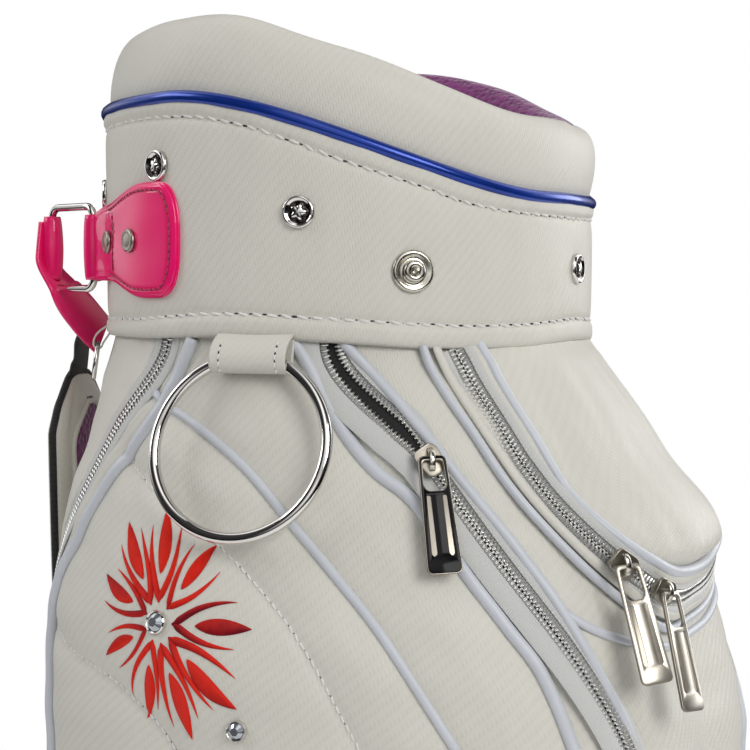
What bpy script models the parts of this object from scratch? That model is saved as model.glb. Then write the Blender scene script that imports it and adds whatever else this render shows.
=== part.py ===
"""A golf staff bag: stiff tube on a moulded base, padded collar, zipped pockets, strap, rings.

Metres, +Z up, origin at the centre of the base's underside. The front is -Y.
An angle round the bag is counted in degrees from the front, growing towards -X.
"""

import math

import bmesh
import bpy
from mathutils import Matrix, Vector

# Driving dimensions
BASE_RADIUS = 0.123
BASE_HEIGHT = 0.045
TUBE_RADIUS = 0.1073
TUBE_WALL = 0.0025
TUBE_TOP = 0.776
SKIN_TOP = 0.741
SKIN_THICKNESS = 0.0025
CUFF_RADIUS = 0.115
CUFF_BOTTOM = 0.735
CUFF_THICKNESS = 0.0026
RIM_FRONT = 0.796
RIM_RISE = 0.044
RIM_RISE_FROM, RIM_RISE_TO = 15, 105
PIPING_RADIUS = 0.0022
GAP = 0.0004
ZIP_HALF_WIDTH = 0.006
ZIP_THICKNESS = 0.0018
TOWEL_RING_RADIUS = 0.0375
TOWEL_RING_WIRE = 0.0025
STRAP_RING_LENGTH = 0.032
STRAP_RING_HALF_HEIGHT = 0.019
STRAP_RING_WIRE = 0.00175
DIVIDER_TOP = 0.7925
DIVIDER_THICKNESS = 0.016
DIVIDER_RADIUS = 0.1112

# The skin's outer radius in millimetres: one row for each height, one column for each angle.
GIRTH_ANGLES = (0, 24, 45, 62, 78, 92, 110, 130, 145, 160, 180)
GIRTHS = {
    45: (123,) * 11,
    90: (140, 142, 140, 136, 133, 131, 129, 127, 123, 120, 119),
    180: (166, 180, 168, 157, 148, 144, 141, 138, 131, 121, 118),
    350: (172, 187, 175, 161, 152, 148, 145, 142, 135, 122, 118),
    480: (173, 188, 175, 162, 154, 150, 148, 146, 138, 123, 117),
    550: (175, 189, 172, 160, 153, 149, 148, 147, 140, 124, 116),
    600: (165, 178, 165, 156, 151, 148, 147, 146, 139, 123, 115),
    650: (147, 157, 150, 142, 138, 137, 137, 137, 131, 119, 114),
    690: (126, 134, 132, 128, 126, 125, 125, 124, 121, 115, 113),
    735: (111.4,) * 11,
    742: (110.8,) * 11,
}
# Seams between the panels: the angle at each height in millimetres.
FRONT_ZIP_SEAM = ((90, 24), (180, 22), (480, 22.5), (550, 23.5), (580, 25.7), (612, 30.5),
                  (654, 39.5), (694, 49.5), (735, 65.5))
SIDE_ZIP_SEAM = ((90, 116), (180, 118), (350, 122), (480, 128), (555, 133.5), (600, 136.5),
                 (628, 134), (667, 125.8), (697, 118.2), (735, 106.5))
PANEL_HEIGHTS = (0.046, 0.09, 0.17, 0.28, 0.39, 0.48, 0.53, 0.57, 0.60, 0.63, 0.66, 0.69, 0.715,
                 0.73, SKIN_TOP)

# Front top pocket: the lid's edge and crown in millimetres in front of the axis, by height.
LID_EDGE = ((637, 160), (646, 158), (656, 152), (665, 144), (683, 126), (697, 116), (726, 97), (738, 90))
LID_CROWN = ((637, 12), (646, 20), (656, 24), (665, 26), (697, 27), (726, 25), (738, 22))
LID_HALF_WIDTH = 0.0625
LID_TOP, LID_CORNER, LID_BOTTOM = 0.733, 0.675, 0.637
GUSSET_HALF_WIDTH = 0.083
GUSSET_CORNER, GUSSET_BOTTOM = 0.700, 0.612
POCKET_STAND_OFF = 0.0036

# Front ball pocket, standing out from the front panel
BALL_HALF_WIDTH = 0.060
BALL_TOP, BALL_BOTTOM = 0.455, 0.150
BALL_DEPTH = 0.020

RIVET_ANGLES = ((0, 0.766), (72, 0.7885), (-72, 0.7885), (107, 0.8095), (-107, 0.8095), (143, 0.801),
                (-143, 0.801))
SNAP_ANGLE, SNAP_HEIGHT = 48.7, 0.7645
TOWEL_ANGLE, TOWEL_HINGE_RADIUS, TOWEL_HINGE_HEIGHT = 81.5, 0.1193, 0.7295
TOWEL_RING_LEAN = 19
STRAP_ANGLE = 168
STRAP_LOOP_HALF_HEIGHT = 0.0150
STRAP_TAB_STATIONS = ((100, 0.0106), (101, 0.0180), (103, 0.0223), (105, 0.0238), (110, 0.0242),
                      (114, 0.0237), (119.5, 0.0209), (124, 0.0183), (127, 0.0172), (133, 0.0163), (139.5, 0.0150))
TAB_RIVET_ANGLES = (115.5, 128)
PAD_TOP, PAD_LENGTH = 0.690, 0.290
PAD_HALF_WIDTH, PAD_HALF_THICKNESS = 0.031, 0.009
HANDLE_ANGLE, HANDLE_BOTTOM, HANDLE_TOP = 196, 0.545, 0.690
FRONT_SLIDER_HEIGHT, SIDE_SLIDER_HEIGHT = 0.689, 0.44
TOP_SLIDERS = (("top_1", 22, (-0.20, -0.34, -0.92)), ("top_2", 20, (-0.22, -0.28, -0.93)))
TOP_SLIDER_LIFT = 0.0048
BALL_SLIDER_STATION = 3
LOWER_RING_HEIGHT = 0.322
STRAP_HINGE_ANGLE, STRAP_HINGE_RADIUS, STRAP_HINGE_HEIGHT = 139, 0.1215, 0.776

WHITE = ("Leatherette", (0.60, 0.59, 0.55), 0.45, 0.0)
PINK = ("PatentPink", (0.80, 0.02, 0.13), 0.12, 0.0)
BLUE = ("BluePiping", (0.012, 0.035, 0.40), 0.25, 0.6)
PURPLE = ("PurpleLining", (0.10, 0.011, 0.09), 0.8, 0.0)
BLACK = ("BlackWebbing", (0.008, 0.007, 0.008), 0.7, 0.0)
PLASTIC = ("BlackPlastic", (0.02, 0.02, 0.022), 0.4, 0.0)
CHROME = ("Chrome", (0.72, 0.71, 0.69), 0.08, 1.0)
NICKEL = ("Nickel", (0.55, 0.52, 0.45), 0.25, 1.0)
TAPE = ("ZipTape", (0.50, 0.50, 0.48), 0.6, 0.1)
RODS = ("RodAluminium", (0.6, 0.6, 0.6), 0.35, 1.0)
GREY = ("TubeBoard", (0.25, 0.25, 0.25), 0.7, 0.0)

PARTS = "golf_staff_bag"
HELPERS = "cutters"


# Scene and object helpers


def clear_scene():
    for obj in list(bpy.data.objects):
        bpy.data.objects.remove(obj, do_unlink=True)
    for name in (PARTS, HELPERS):
        collection = bpy.data.collections.new(name)
        bpy.context.scene.collection.children.link(collection)
    bpy.data.collections[HELPERS].hide_render = True


def material(look):
    name, colour, roughness, metallic = look
    found = bpy.data.materials.get(name)
    if found:
        return found
    made = bpy.data.materials.new(name)
    made.use_nodes = True
    shader = made.node_tree.nodes["Principled BSDF"]
    shader.inputs["Base Color"].default_value = (*colour, 1)
    shader.inputs["Roughness"].default_value = roughness
    shader.inputs["Metallic"].default_value = metallic
    return made


def add_object(name, data, look, collection=PARTS):
    obj = bpy.data.objects.new(name, data)
    bpy.data.collections[collection].objects.link(obj)
    data.materials.append(material(look))
    return obj


def mesh_from(name, vertices, faces):
    mesh = bpy.data.meshes.new(name)
    mesh.from_pydata(vertices, [], faces)
    mesh.update()
    return mesh


def smooth(obj, angle=35):
    obj.data.shade_smooth()
    obj.data.set_sharp_from_angle(angle=math.radians(angle))
    return obj


def cutter(obj):
    obj.hide_render = True
    obj.display_type = "WIRE"
    for collection in list(obj.users_collection):
        collection.objects.unlink(obj)
    bpy.data.collections[HELPERS].objects.link(obj)
    return obj


def boolean(obj, other, operation):
    modifier = obj.modifiers.new(operation.title(), "BOOLEAN")
    modifier.operation = operation
    modifier.object = cutter(other)


def solidify(obj, thickness, offset=-1):
    modifier = obj.modifiers.new("Thickness", "SOLIDIFY")
    modifier.thickness = thickness
    modifier.offset = offset
    modifier.use_even_offset = False
    return obj


def realised(curve_object, look):
    """The curve object's shape as a mesh object with its caps welded."""
    graph = bpy.context.evaluated_depsgraph_get()
    mesh = bpy.data.meshes.new_from_object(curve_object.evaluated_get(graph))
    built = bmesh.new()
    built.from_mesh(mesh)
    bmesh.ops.remove_doubles(built, verts=built.verts, dist=1e-6)
    built.to_mesh(mesh)
    built.free()
    mesh.materials.clear()
    name = curve_object.name
    matrix = curve_object.matrix_world.copy()
    bpy.data.objects.remove(curve_object, do_unlink=True)
    obj = add_object(name, mesh, look)
    obj.matrix_world = matrix
    return obj


def turned(name, profile, look, steps=48):
    """A closed (radius, height) outline turned about Z, its outer side running downwards."""
    mesh = bpy.data.meshes.new(name)
    count = len(profile)
    mesh.from_pydata([(r, 0, z) for r, z in profile], [(i, (i + 1) % count) for i in range(count)], [])
    obj = add_object(name, mesh, look)
    screw = obj.modifiers.new("Turn", "SCREW")
    screw.axis = "Z"
    screw.steps = steps
    screw.render_steps = steps
    screw.use_merge_vertices = True
    screw.merge_threshold = 1e-5
    return obj


def cap(name, profile, look, steps=20):
    """A (radius, height) profile from the axis above to the axis below, turned about Z."""
    mesh = bpy.data.meshes.new(name)
    mesh.from_pydata([(r, 0, z) for r, z in profile], [(i, i + 1) for i in range(len(profile) - 1)], [])
    obj = add_object(name, mesh, look)
    screw = obj.modifiers.new("Turn", "SCREW")
    screw.axis = "Z"
    screw.steps = steps
    screw.render_steps = steps
    screw.use_merge_vertices = True
    screw.merge_threshold = 1e-5
    return obj


def wire(name, points, radius, look, closed=False, resolution=2):
    curve = bpy.data.curves.new(name, "CURVE")
    curve.dimensions = "3D"
    curve.bevel_depth = radius
    curve.bevel_resolution = resolution
    curve.use_fill_caps = not closed
    spline = curve.splines.new("POLY")
    spline.points.add(len(points) - 1)
    for point, place in zip(spline.points, points):
        point.co = (*place, 1)
    spline.use_cyclic_u = closed
    return add_object(name, curve, look)


def flat_shape(name, outlines, thickness, look):
    """Closed (x, y) outlines, the later ones holes, extruded to a plate about z = 0."""
    curve = bpy.data.curves.new(name, "CURVE")
    curve.dimensions = "2D"
    curve.fill_mode = "BOTH"
    curve.extrude = thickness / 2
    for outline in outlines:
        spline = curve.splines.new("POLY")
        spline.points.add(len(outline) - 1)
        for point, (x, y) in zip(spline.points, outline):
            point.co = (x, y, 0, 1)
        spline.use_cyclic_u = True
    return add_object(name, curve, look)


def box(name, size, look, bevel=0.0):
    mesh = bpy.data.meshes.new(name)
    built = bmesh.new()
    bmesh.ops.create_cube(built, size=1)
    bmesh.ops.scale(built, vec=size, verts=built.verts)
    built.to_mesh(mesh)
    built.free()
    obj = add_object(name, mesh, look)
    if bevel:
        modifier = obj.modifiers.new("Edges", "BEVEL")
        modifier.width = bevel
        modifier.segments = 2
    return obj


# Shape functions


def through(knots, x):
    """A monotone cubic through (place, value) knots, flat beyond both ends."""
    if x <= knots[0][0]:
        return knots[0][1]
    if x >= knots[-1][0]:
        return knots[-1][1]
    slopes = [(b[1] - a[1]) / (b[0] - a[0]) for a, b in zip(knots, knots[1:])]

    def tangent(i):
        if i in (0, len(knots) - 1):
            return 0.0
        before, after = slopes[i - 1], slopes[i]
        return 2 * before * after / (before + after) if before * after > 0 else 0.0

    i = max(k for k in range(len(knots) - 1) if knots[k][0] <= x)
    span = knots[i + 1][0] - knots[i][0]
    t = (x - knots[i][0]) / span
    return ((2 * t**3 - 3 * t**2 + 1) * knots[i][1] + (t**3 - 2 * t**2 + t) * span * tangent(i)
            + (3 * t**2 - 2 * t**3) * knots[i + 1][1] + (t**3 - t**2) * span * tangent(i + 1))


def skin_radius(angle, height):
    """The skin's outer radius at an angle in degrees and a height in metres."""
    angle = abs((angle + 180) % 360 - 180)
    column = [(h, through(list(zip(GIRTH_ANGLES, row)), angle)) for h, row in GIRTHS.items()]
    return through(column, height * 1000) / 1000


def around(angle, radius, height):
    a = math.radians(angle)
    return Vector((-radius * math.sin(a), -radius * math.cos(a), height))


def on_skin(angle, height, offset=0.0):
    return around(angle, skin_radius(angle, height) + offset, height)


def skin_normal(angle, height):
    d_angle = on_skin(angle + 1, height) - on_skin(angle - 1, height)
    d_height = on_skin(angle, height + 0.004) - on_skin(angle, height - 0.004)
    return d_height.cross(d_angle).normalized()


def fall_line(angle, height):
    """The steepest way down along the skin."""
    return (on_skin(angle, height - 0.03) - on_skin(angle, height)).normalized()


def rim_height(angle):
    t = (abs((angle + 180) % 360 - 180) - RIM_RISE_FROM) / (RIM_RISE_TO - RIM_RISE_FROM)
    t = min(max(t, 0), 1)
    return RIM_FRONT + RIM_RISE * t * t * (3 - 2 * t)


def front_seam(height):
    return through(FRONT_ZIP_SEAM, height * 1000)


def side_seam(height):
    return through(SIDE_ZIP_SEAM, height * 1000)


def zip_half_angle(height, seam):
    return math.degrees(ZIP_HALF_WIDTH / skin_radius(seam(height), height))


def facing(angle, radius, height, lean=0):
    """A frame on the bag's side: X to the viewer's right, -Y outwards, Z up; a lean tips -Z outwards."""
    turn = Matrix.Rotation(math.radians(-angle), 4, "Z") @ Matrix.Rotation(math.radians(-lean), 4, "X")
    return Matrix.Translation(around(angle, radius, height)) @ turn


def aligned(place, outward, down):
    """A frame at a place with -Y outwards and -Z along down as nearly as the outward way allows."""
    inward = -Vector(outward).normalized()
    up = -Vector(down)
    up = (up - up.dot(inward) * inward).normalized()
    right = inward.cross(up)
    frame = Matrix((right, inward, up)).transposed().to_4x4()
    frame.translation = place
    return frame


def skin_frame(angle, height, offset):
    """A frame that lies flat on the skin, that far off it, with Z as nearly up as the skin allows."""
    outward = skin_normal(angle, height)
    return aligned(on_skin(angle, height) + outward * offset, outward, (0, 0, -1))


def empty(name, matrix):
    obj = bpy.data.objects.new(name, None)
    bpy.data.collections[PARTS].objects.link(obj)
    obj.matrix_world = matrix
    return obj


def hang(obj, parent, location=(0, 0, 0), rotation=(0, 0, 0)):
    obj.parent = parent
    obj.location = location
    obj.rotation_euler = [math.radians(r) for r in rotation]
    return obj


# Body


def grid_surface(name, rows, look, closed=False):
    """A surface through rows of points, each row running the same way."""
    columns = len(rows[0])
    vertices = [point for row in rows for point in row]
    faces = []
    for r in range(len(rows) - 1):
        for c in range(columns if closed else columns - 1):
            d = (c + 1) % columns
            faces.append((r * columns + c, (r + 1) * columns + c, (r + 1) * columns + d, r * columns + d))
    return add_object(name, mesh_from(name, vertices, faces), look)


def panel(name, first, last, offset, thickness, look, columns):
    """A skin panel between two seams, each an angle that depends on height."""
    rows = []
    for height in PANEL_HEIGHTS:
        low, high = first(height), last(height)
        rows.append([on_skin(low + (high - low) * c / columns, height, offset) for c in range(columns + 1)])
    return smooth(solidify(grid_surface(name, rows, look), thickness))


def body_panels():
    gap = 0.35

    def edge(seam, side):
        return lambda height: seam(height) + side * (zip_half_angle(height, seam) + gap)

    def mirrored(function):
        return lambda height: -function(height)

    def zip_edge(seam, side):
        return lambda height: seam(height) + side * zip_half_angle(height, seam)

    front = edge(front_seam, -1)
    panel("front_panel", mirrored(front), front, 0, SKIN_THICKNESS, WHITE, 12)
    back = edge(side_seam, 1)
    panel("back_panel", back, lambda h: 360 - back(h), 0, SKIN_THICKNESS, WHITE, 10)
    inner, outer = edge(front_seam, 1), edge(side_seam, -1)
    panel("side_pocket_left", inner, outer, 0, SKIN_THICKNESS, WHITE, 12)
    panel("side_pocket_right", mirrored(outer), mirrored(inner), 0, SKIN_THICKNESS, WHITE, 12)
    for name, seam in (("front_zip", front_seam), ("side_zip", side_seam)):
        low, high = zip_edge(seam, -1), zip_edge(seam, 1)
        panel(name + "_left", low, high, -0.0004, ZIP_THICKNESS, TAPE, 1)
        panel(name + "_right", mirrored(high), mirrored(low), -0.0004, ZIP_THICKNESS, TAPE, 1)


def collar():
    columns = 40
    angles = [360 * c / columns for c in range(columns)]
    rows = [[around(a, CUFF_RADIUS, CUFF_BOTTOM + (rim_height(a) - PIPING_RADIUS - GAP - CUFF_BOTTOM) * t)
             for a in angles] for t in (0, 0.5, 1)]
    smooth(solidify(grid_surface("collar_cuff", rows, WHITE, closed=True), CUFF_THICKNESS))
    wire("rim_piping", [around(a, CUFF_RADIUS, rim_height(a)) for a in angles], PIPING_RADIUS, BLUE, True)
    low = PIPING_RADIUS + GAP
    section = ((0.1145, low), (0.1168, 0.011), (0.1162, 0.021), (0.1125, 0.030), (0.105, 0.0355),
               (0.097, 0.034), (0.0905, 0.026), (0.0885, 0.014), (0.0885, low))
    vertices = [around(a, r, rim_height(a) + z) for a in angles for r, z in section]
    count = len(section)
    faces = []
    for c in range(columns):
        d = (c + 1) % columns
        for k in range(count):
            m = (k + 1) % count
            faces.append((c * count + k, c * count + m, d * count + m, d * count + k))
    smooth(add_object("rim_roll", mesh_from("rim_roll", vertices, faces), WHITE), 50)
    foot = DIVIDER_TOP + GAP
    lining = [[around(a, 0.0865, foot + (rim_height(a) + 0.012 - foot) * t) for a in angles] for t in (0, 1)]
    smooth(solidify(grid_surface("rim_lining", lining, PURPLE, closed=True), 0.0014, offset=1))


def inside():
    turned("base_tray", ((0, 0.0), (0.118, 0.0), (BASE_RADIUS, 0.005), (BASE_RADIUS, BASE_HEIGHT),
                         (0.1195, BASE_HEIGHT), (0.1195, 0.008), (0.117, 0.005), (0, 0.005))[::-1], PLASTIC)
    turned("body_tube", ((TUBE_RADIUS, TUBE_TOP), (TUBE_RADIUS, 0.0055), (TUBE_RADIUS - TUBE_WALL, 0.0055),
                         (TUBE_RADIUS - TUBE_WALL, TUBE_TOP)), GREY)
    for side, x in (("left", -1), ("right", 1)):
        place = x * 0.0985
        rod = wire("stay_rod_" + side, [(place, 0, 0.006), (place, 0, 0.775)], 0.004, RODS, False, 1)
        rod.data.use_fill_caps = True
    divider()


def well_outline(x0, x1, y0, y1, radius, steps=20):
    """A rounded cell of the divider: the rectangle cut off by the rim's circle, with softened corners."""
    reach = math.hypot(max(abs(x0), abs(x1)), max(abs(y0), abs(y1)))
    shrink = min(1, (radius - 0.003) / reach) if reach > radius else 1
    cx, cy = (x0 + x1) / 2 * shrink, (y0 + y1) / 2 * shrink
    points = []
    for i in range(steps):
        a = 2 * math.pi * i / steps
        dx, dy = math.cos(a), math.sin(a)
        reaches = []
        if abs(dx) > 1e-9:
            reaches.append(((x1 if dx > 0 else x0) - cx) / dx)
        if abs(dy) > 1e-9:
            reaches.append(((y1 if dy > 0 else y0) - cy) / dy)
        along = cx * dx + cy * dy
        reaches.append(-along + math.sqrt(along * along - cx * cx - cy * cy + radius * radius))
        r = sum(value**-9 for value in reaches) ** (-1 / 9)
        points.append((cx + r * dx, cy + r * dy))
    return points


WELL_ROWS = ((-0.083, -0.031), (-0.024, 0.024), (0.031, 0.083))
WELL_INNER, WELL_OUTER = 0.0035, 0.083


def divider():
    turns = [2 * math.pi * i / 48 for i in range(48)]
    circle = [(DIVIDER_RADIUS * math.cos(a), DIVIDER_RADIUS * math.sin(a)) for a in turns]
    wells = []
    for y0, y1 in WELL_ROWS:
        wells.append(well_outline(WELL_INNER, WELL_OUTER, y0, y1, WELL_OUTER))
        wells.append(well_outline(-WELL_OUTER, -WELL_INNER, y0, y1, WELL_OUTER))
    frame = flat_shape("divider_frame", [circle, *wells], DIVIDER_THICKNESS, PURPLE)
    frame.location.z = DIVIDER_TOP - DIVIDER_THICKNESS / 2
    low, high = 0.0055, DIVIDER_TOP - DIVIDER_THICKNESS - GAP
    height, middle = high - low, (high + low) / 2
    walls = box("long_dividers", (0.002, 0.170, height), PURPLE)
    walls.location.z = middle
    for i, y in enumerate((-0.0265, 0.0265)):
        wall = box("cross_wall_%d" % i, (0.158, 0.002, height - 0.001), PURPLE)
        wall.location = (0, y, middle)
        boolean(walls, wall, "UNION")


# Front pockets


def pocket_outline(half_width, top, corner, bottom, count):
    """Half of a pocket's U outline as (x, z), from its top corner down and round to the middle."""
    points = []
    for i in range(count + 1):
        t = i / count
        if t < 0.4:
            points.append((half_width, top + (corner - top) * t / 0.4))
        else:
            a = (t - 0.4) / 0.6 * math.pi / 2
            points.append((half_width * math.cos(a) ** 0.8, corner - (corner - bottom) * math.sin(a) ** 0.8))
    return points


def lid_depth(x, z):
    edge, crown = through(LID_EDGE, z * 1000), through(LID_CROWN, z * 1000)
    depth = (edge + crown * (1 - min(1, (x / LID_HALF_WIDTH) ** 2))) / 1000
    return max(depth, skin_depth(x, z) + 0.0052)


def skin_depth(x, z):
    """How far in front of the axis the skin is at x and z."""
    depth = 0.15
    for _ in range(12):
        angle = math.degrees(math.atan2(-x, depth))
        radius = skin_radius(angle, z)
        depth = math.sqrt(max(radius * radius - x * x, 1e-8))
    return depth


def top_pocket_rings(count=10):
    """Rings of the pocket's outer face: the lid's middle to its edge, then the gusset down to the skin."""
    lid = pocket_outline(LID_HALF_WIDTH, LID_TOP, LID_CORNER, LID_BOTTOM, count)
    foot = pocket_outline(GUSSET_HALF_WIDTH, LID_TOP - 0.003, GUSSET_CORNER, GUSSET_BOTTOM, count)
    rings = []
    for share in (0.34, 0.68, 1.0):
        ring = []
        for x, z in lid:
            z_in = LID_TOP + (z - LID_TOP) * share
            x_in = x * share
            ring.append((x_in, -lid_depth(x_in, z_in), z_in))
        rings.append(ring)
    for share in (0.5, 1.0):
        ring = []
        for (x, z), (fx, fz) in zip(lid, foot):
            lid_point = Vector((x, -lid_depth(x, z), z))
            foot_point = Vector((fx, -skin_depth(fx, fz) - POCKET_STAND_OFF, fz))
            ring.append(tuple(lid_point.lerp(foot_point, share)))
        rings.append(ring)
    return rings


def both_sides(half):
    """A half row that ends in the middle, joined to its mirror image."""
    return [*half, *[(-x, y, z) for x, y, z in reversed(half[:-1])]]


def front_top_pocket():
    rings = [both_sides(ring) for ring in top_pocket_rings()]
    count = len(rings[0])
    middle = [(0, -lid_depth(0, LID_TOP), LID_TOP)]
    vertices = middle + [point for ring in rings for point in ring]
    faces = [(0, 1 + i, 2 + i) for i in range(count - 1)]
    for r in range(len(rings) - 1):
        for i in range(count - 1):
            a, b = 1 + r * count + i, 1 + (r + 1) * count + i
            faces.append((a, b, b + 1, a + 1))
    obj = add_object("front_top_pocket", mesh_from("front_top_pocket", vertices, faces), WHITE)
    smooth(solidify(face_outwards(obj), 0.0018))


def face_outwards(obj):
    """Turns the surface's faces so that most of its area looks away from the bag's axis."""
    total = 0
    for face in obj.data.polygons:
        centre = face.center
        total += face.area * face.normal.dot(Vector((centre.x, centre.y, 0)))
    if total < 0:
        obj.data.flip_normals()
    return obj


def top_zip_path(count=16, lift=0.0016):
    """The middle of the U-shaped zip on the top pocket's gusset."""
    lid = pocket_outline(LID_HALF_WIDTH, LID_TOP - 0.004, LID_CORNER, LID_BOTTOM, count)
    foot = pocket_outline(GUSSET_HALF_WIDTH, LID_TOP - 0.007, GUSSET_CORNER, GUSSET_BOTTOM, count)
    path = []
    for (x, z), (fx, fz) in zip(lid, foot):
        a = Vector((x, -lid_depth(x, z), z))
        b = Vector((fx, -skin_depth(fx, fz) - POCKET_STAND_OFF, fz))
        out = Vector((a.x, a.y, 0)).normalized()
        across = (b - a).normalized()
        normal = (out - out.dot(across) * across).normalized()
        path.append((a.lerp(b, 0.45) + normal * lift, across, normal))
    return path


def ribbon(name, path, half_width, thickness, look):
    """A flat band that follows (place, across, normal) stations."""
    rows = [[p - across * half_width, p + across * half_width] for p, across, _ in path]
    obj = face_outwards(grid_surface(name, rows, look))
    return solidify(obj, thickness, offset=1)


def mirrored_path(path):
    flip = Vector((-1, 1, 1))
    return path + [tuple(v * flip for v in station) for station in reversed(path[:-1])]


def ball_pocket():
    outer = ball_outline(0, 24)
    rings = []
    for share, lift in ((0.4, 1.0), (0.8, 0.97), (0.96, 0.8), (1.0, 0.55), (1.0, 0.04)):
        ring = []
        for x, z in outer:
            middle = (BALL_TOP + BALL_BOTTOM) / 2
            px, pz = x * share, middle + (z - middle) * share
            ring.append((px, -skin_depth(px, pz) - 0.0008 - BALL_DEPTH * lift, pz))
        rings.append(ring)
    count = len(outer)
    middle = (BALL_TOP + BALL_BOTTOM) / 2
    vertices = [(0, -skin_depth(0, middle) - BALL_DEPTH - 0.0008, middle)]
    vertices += [point for ring in rings for point in ring]
    faces = [(0, 1 + i, 1 + (i + 1) % count) for i in range(count)]
    for r in range(len(rings) - 1):
        for i in range(count):
            a, b = 1 + r * count + i, 1 + (r + 1) * count + i
            c, d = 1 + (r + 1) * count + (i + 1) % count, 1 + r * count + (i + 1) % count
            faces.append((a, b, c, d))
    obj = add_object("ball_pocket", mesh_from("ball_pocket", vertices, faces), WHITE)
    smooth(solidify(face_outwards(obj), 0.0022))


def ball_outline(grow, count):
    """A rounded rectangle as (x, z), going round once."""
    half_height = (BALL_TOP - BALL_BOTTOM) / 2 + grow
    middle = (BALL_TOP + BALL_BOTTOM) / 2
    points = []
    for i in range(count):
        a = 2 * math.pi * (i + 0.5) / count
        c, s = math.cos(a), math.sin(a)
        scale = (abs(c) ** 5 + abs(s) ** 5) ** (-1 / 5)
        points.append(((BALL_HALF_WIDTH + grow) * c * scale, middle + half_height * s * scale))
    return points


def ball_zip_path(count=12):
    """The zip round the ball pocket's upper side, from the middle of its left edge over the top."""
    path = []
    grow = 0.0016
    start, corner, turn_centre = BALL_TOP - 0.145, BALL_TOP - 0.035, BALL_TOP - 0.055
    for i in range(count + 1):
        t = i / count
        if t < 0.5:
            x, z = -(BALL_HALF_WIDTH + grow), start + (corner - start) * t / 0.5
        else:
            a = (t - 0.5) / 0.5 * math.pi / 2
            x = -(BALL_HALF_WIDTH + grow) * math.cos(a) ** 0.5
            z = corner + (BALL_TOP + grow - corner) * math.sin(a) ** 0.5
        side = Vector((x, 0, (z - turn_centre) * 0.8 if t > 0.5 else 0)).normalized()
        place = Vector((x, -skin_depth(x, z) - 0.6 * BALL_DEPTH, z)) + side * 0.0004
        path.append((place, Vector((0, -1, 0)), side))
    return path


# Collar fittings


def rivets():
    for i, (angle, height) in enumerate(RIVET_ANGLES):
        mount = empty("rivet_place_%d" % (i + 1), facing(angle, CUFF_RADIUS + 0.0003, height))
        profile = ((0, 0.0019), (0.0035, 0.0017), (0.0055, 0.0016), (0.0066, 0.0008), (0.0066, 0), (0, 0))
        hang(cap("collar_rivet_%d" % (i + 1), profile, CHROME, 16), mount, rotation=(90, 0, 0))
    for side, angle in (("left", SNAP_ANGLE), ("right", -SNAP_ANGLE)):
        mount = empty("snap_place_" + side, facing(angle, CUFF_RADIUS + 0.0004, SNAP_HEIGHT))
        profile = ((0, 0.0020), (0.0022, 0.0042), (0.0045, 0.0042), (0.0048, 0.0016), (0.0086, 0.0010),
                   (0.0086, 0), (0, 0))
        hang(cap("snap_stud_" + side, profile, NICKEL, 20), mount, rotation=(90, 0, 0))


def cuff_patch(name, stations, offset, thickness, look):
    """A plate on the cuff: stations are (angle, low height, high height)."""
    rows = []
    for angle, low, high in stations:
        rows.append([around(angle, CUFF_RADIUS + offset, low + (high - low) * t) for t in (0, 0.5, 1)])
    obj = face_outwards(grid_surface(name, rows, look))
    return solidify(obj, thickness, offset=1)


def strap_tab_upper():
    centre = STRAP_HINGE_HEIGHT + 0.002
    stations = []
    for angle, half in STRAP_TAB_STATIONS:
        stations.append((angle, centre - half, centre + half))
    tab = cuff_patch("strap_tab_upper", stations, 0.0004, 0.0028, PINK)
    loop = tube_loop("strap_tab_loop", 0.0023, 0.0044, STRAP_LOOP_HALF_HEIGHT, PINK)
    hinge = around(STRAP_HINGE_ANGLE, STRAP_HINGE_RADIUS, STRAP_HINGE_HEIGHT)
    loop.location = hinge
    boolean(tab, loop, "UNION")
    for i, angle in enumerate(TAB_RIVET_ANGLES):
        mount = empty("tab_rivet_place_%d" % (i + 1), facing(angle, CUFF_RADIUS + 0.0037, centre))
        profile = ((0, 0.0014), (0.003, 0.0012), (0.0045, 0.0004), (0.0045, 0), (0, 0))
        hang(cap("tab_rivet_%d" % (i + 1), profile, NICKEL, 16), mount, rotation=(90, 0, 0))


def tube_loop(name, inner, outer, half_height, look, steps=16):
    """A short sleeve about Z."""
    profile = ((outer, half_height), (outer, -half_height), (inner, -half_height), (inner, half_height))
    return turned(name, profile, look, steps)


def ring_outline(length, half_height, corner, steps=4):
    """A rounded rectangle in X and Z from x = 0 to x = length."""
    points = []
    near, far, top = corner, length - corner, half_height - corner
    for cx, cz, start in ((far, top, 90), (far, -top, 0), (near, -top, -90), (near, top, -180)):
        for i in range(steps + 1):
            a = math.radians(start - 90 * i / steps)
            points.append((cx + corner * math.cos(a), 0, cz + corner * math.sin(a)))
    return points


def upper_strap_fittings():
    hinge = around(STRAP_HINGE_ANGLE, STRAP_HINGE_RADIUS, STRAP_HINGE_HEIGHT)
    away = Vector((0.0084, 0.031, 0)).normalized()
    turn = math.atan2(away.y, away.x)
    frame = Matrix.Translation(hinge) @ Matrix.Rotation(turn, 4, "Z")
    pivot = empty("strap_ring_upper_hinge", frame)
    ring = wire("strap_ring_upper", ring_outline(STRAP_RING_LENGTH, STRAP_RING_HALF_HEIGHT, 0.005),
                STRAP_RING_WIRE, CHROME, True)
    hang(ring, pivot)
    loop = tube_loop("strap_loop_upper", 0.0023, 0.0045, STRAP_LOOP_HALF_HEIGHT, PINK)
    hang(loop, pivot, (STRAP_RING_LENGTH, 0, 0))


def strap_line(t):
    """The middle of the shoulder pad from its top (t = 0) to its foot (t = 1)."""
    return around(STRAP_ANGLE, 0.141 + 0.012 * math.sin(math.pi * t), PAD_TOP - PAD_LENGTH * t)


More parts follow.
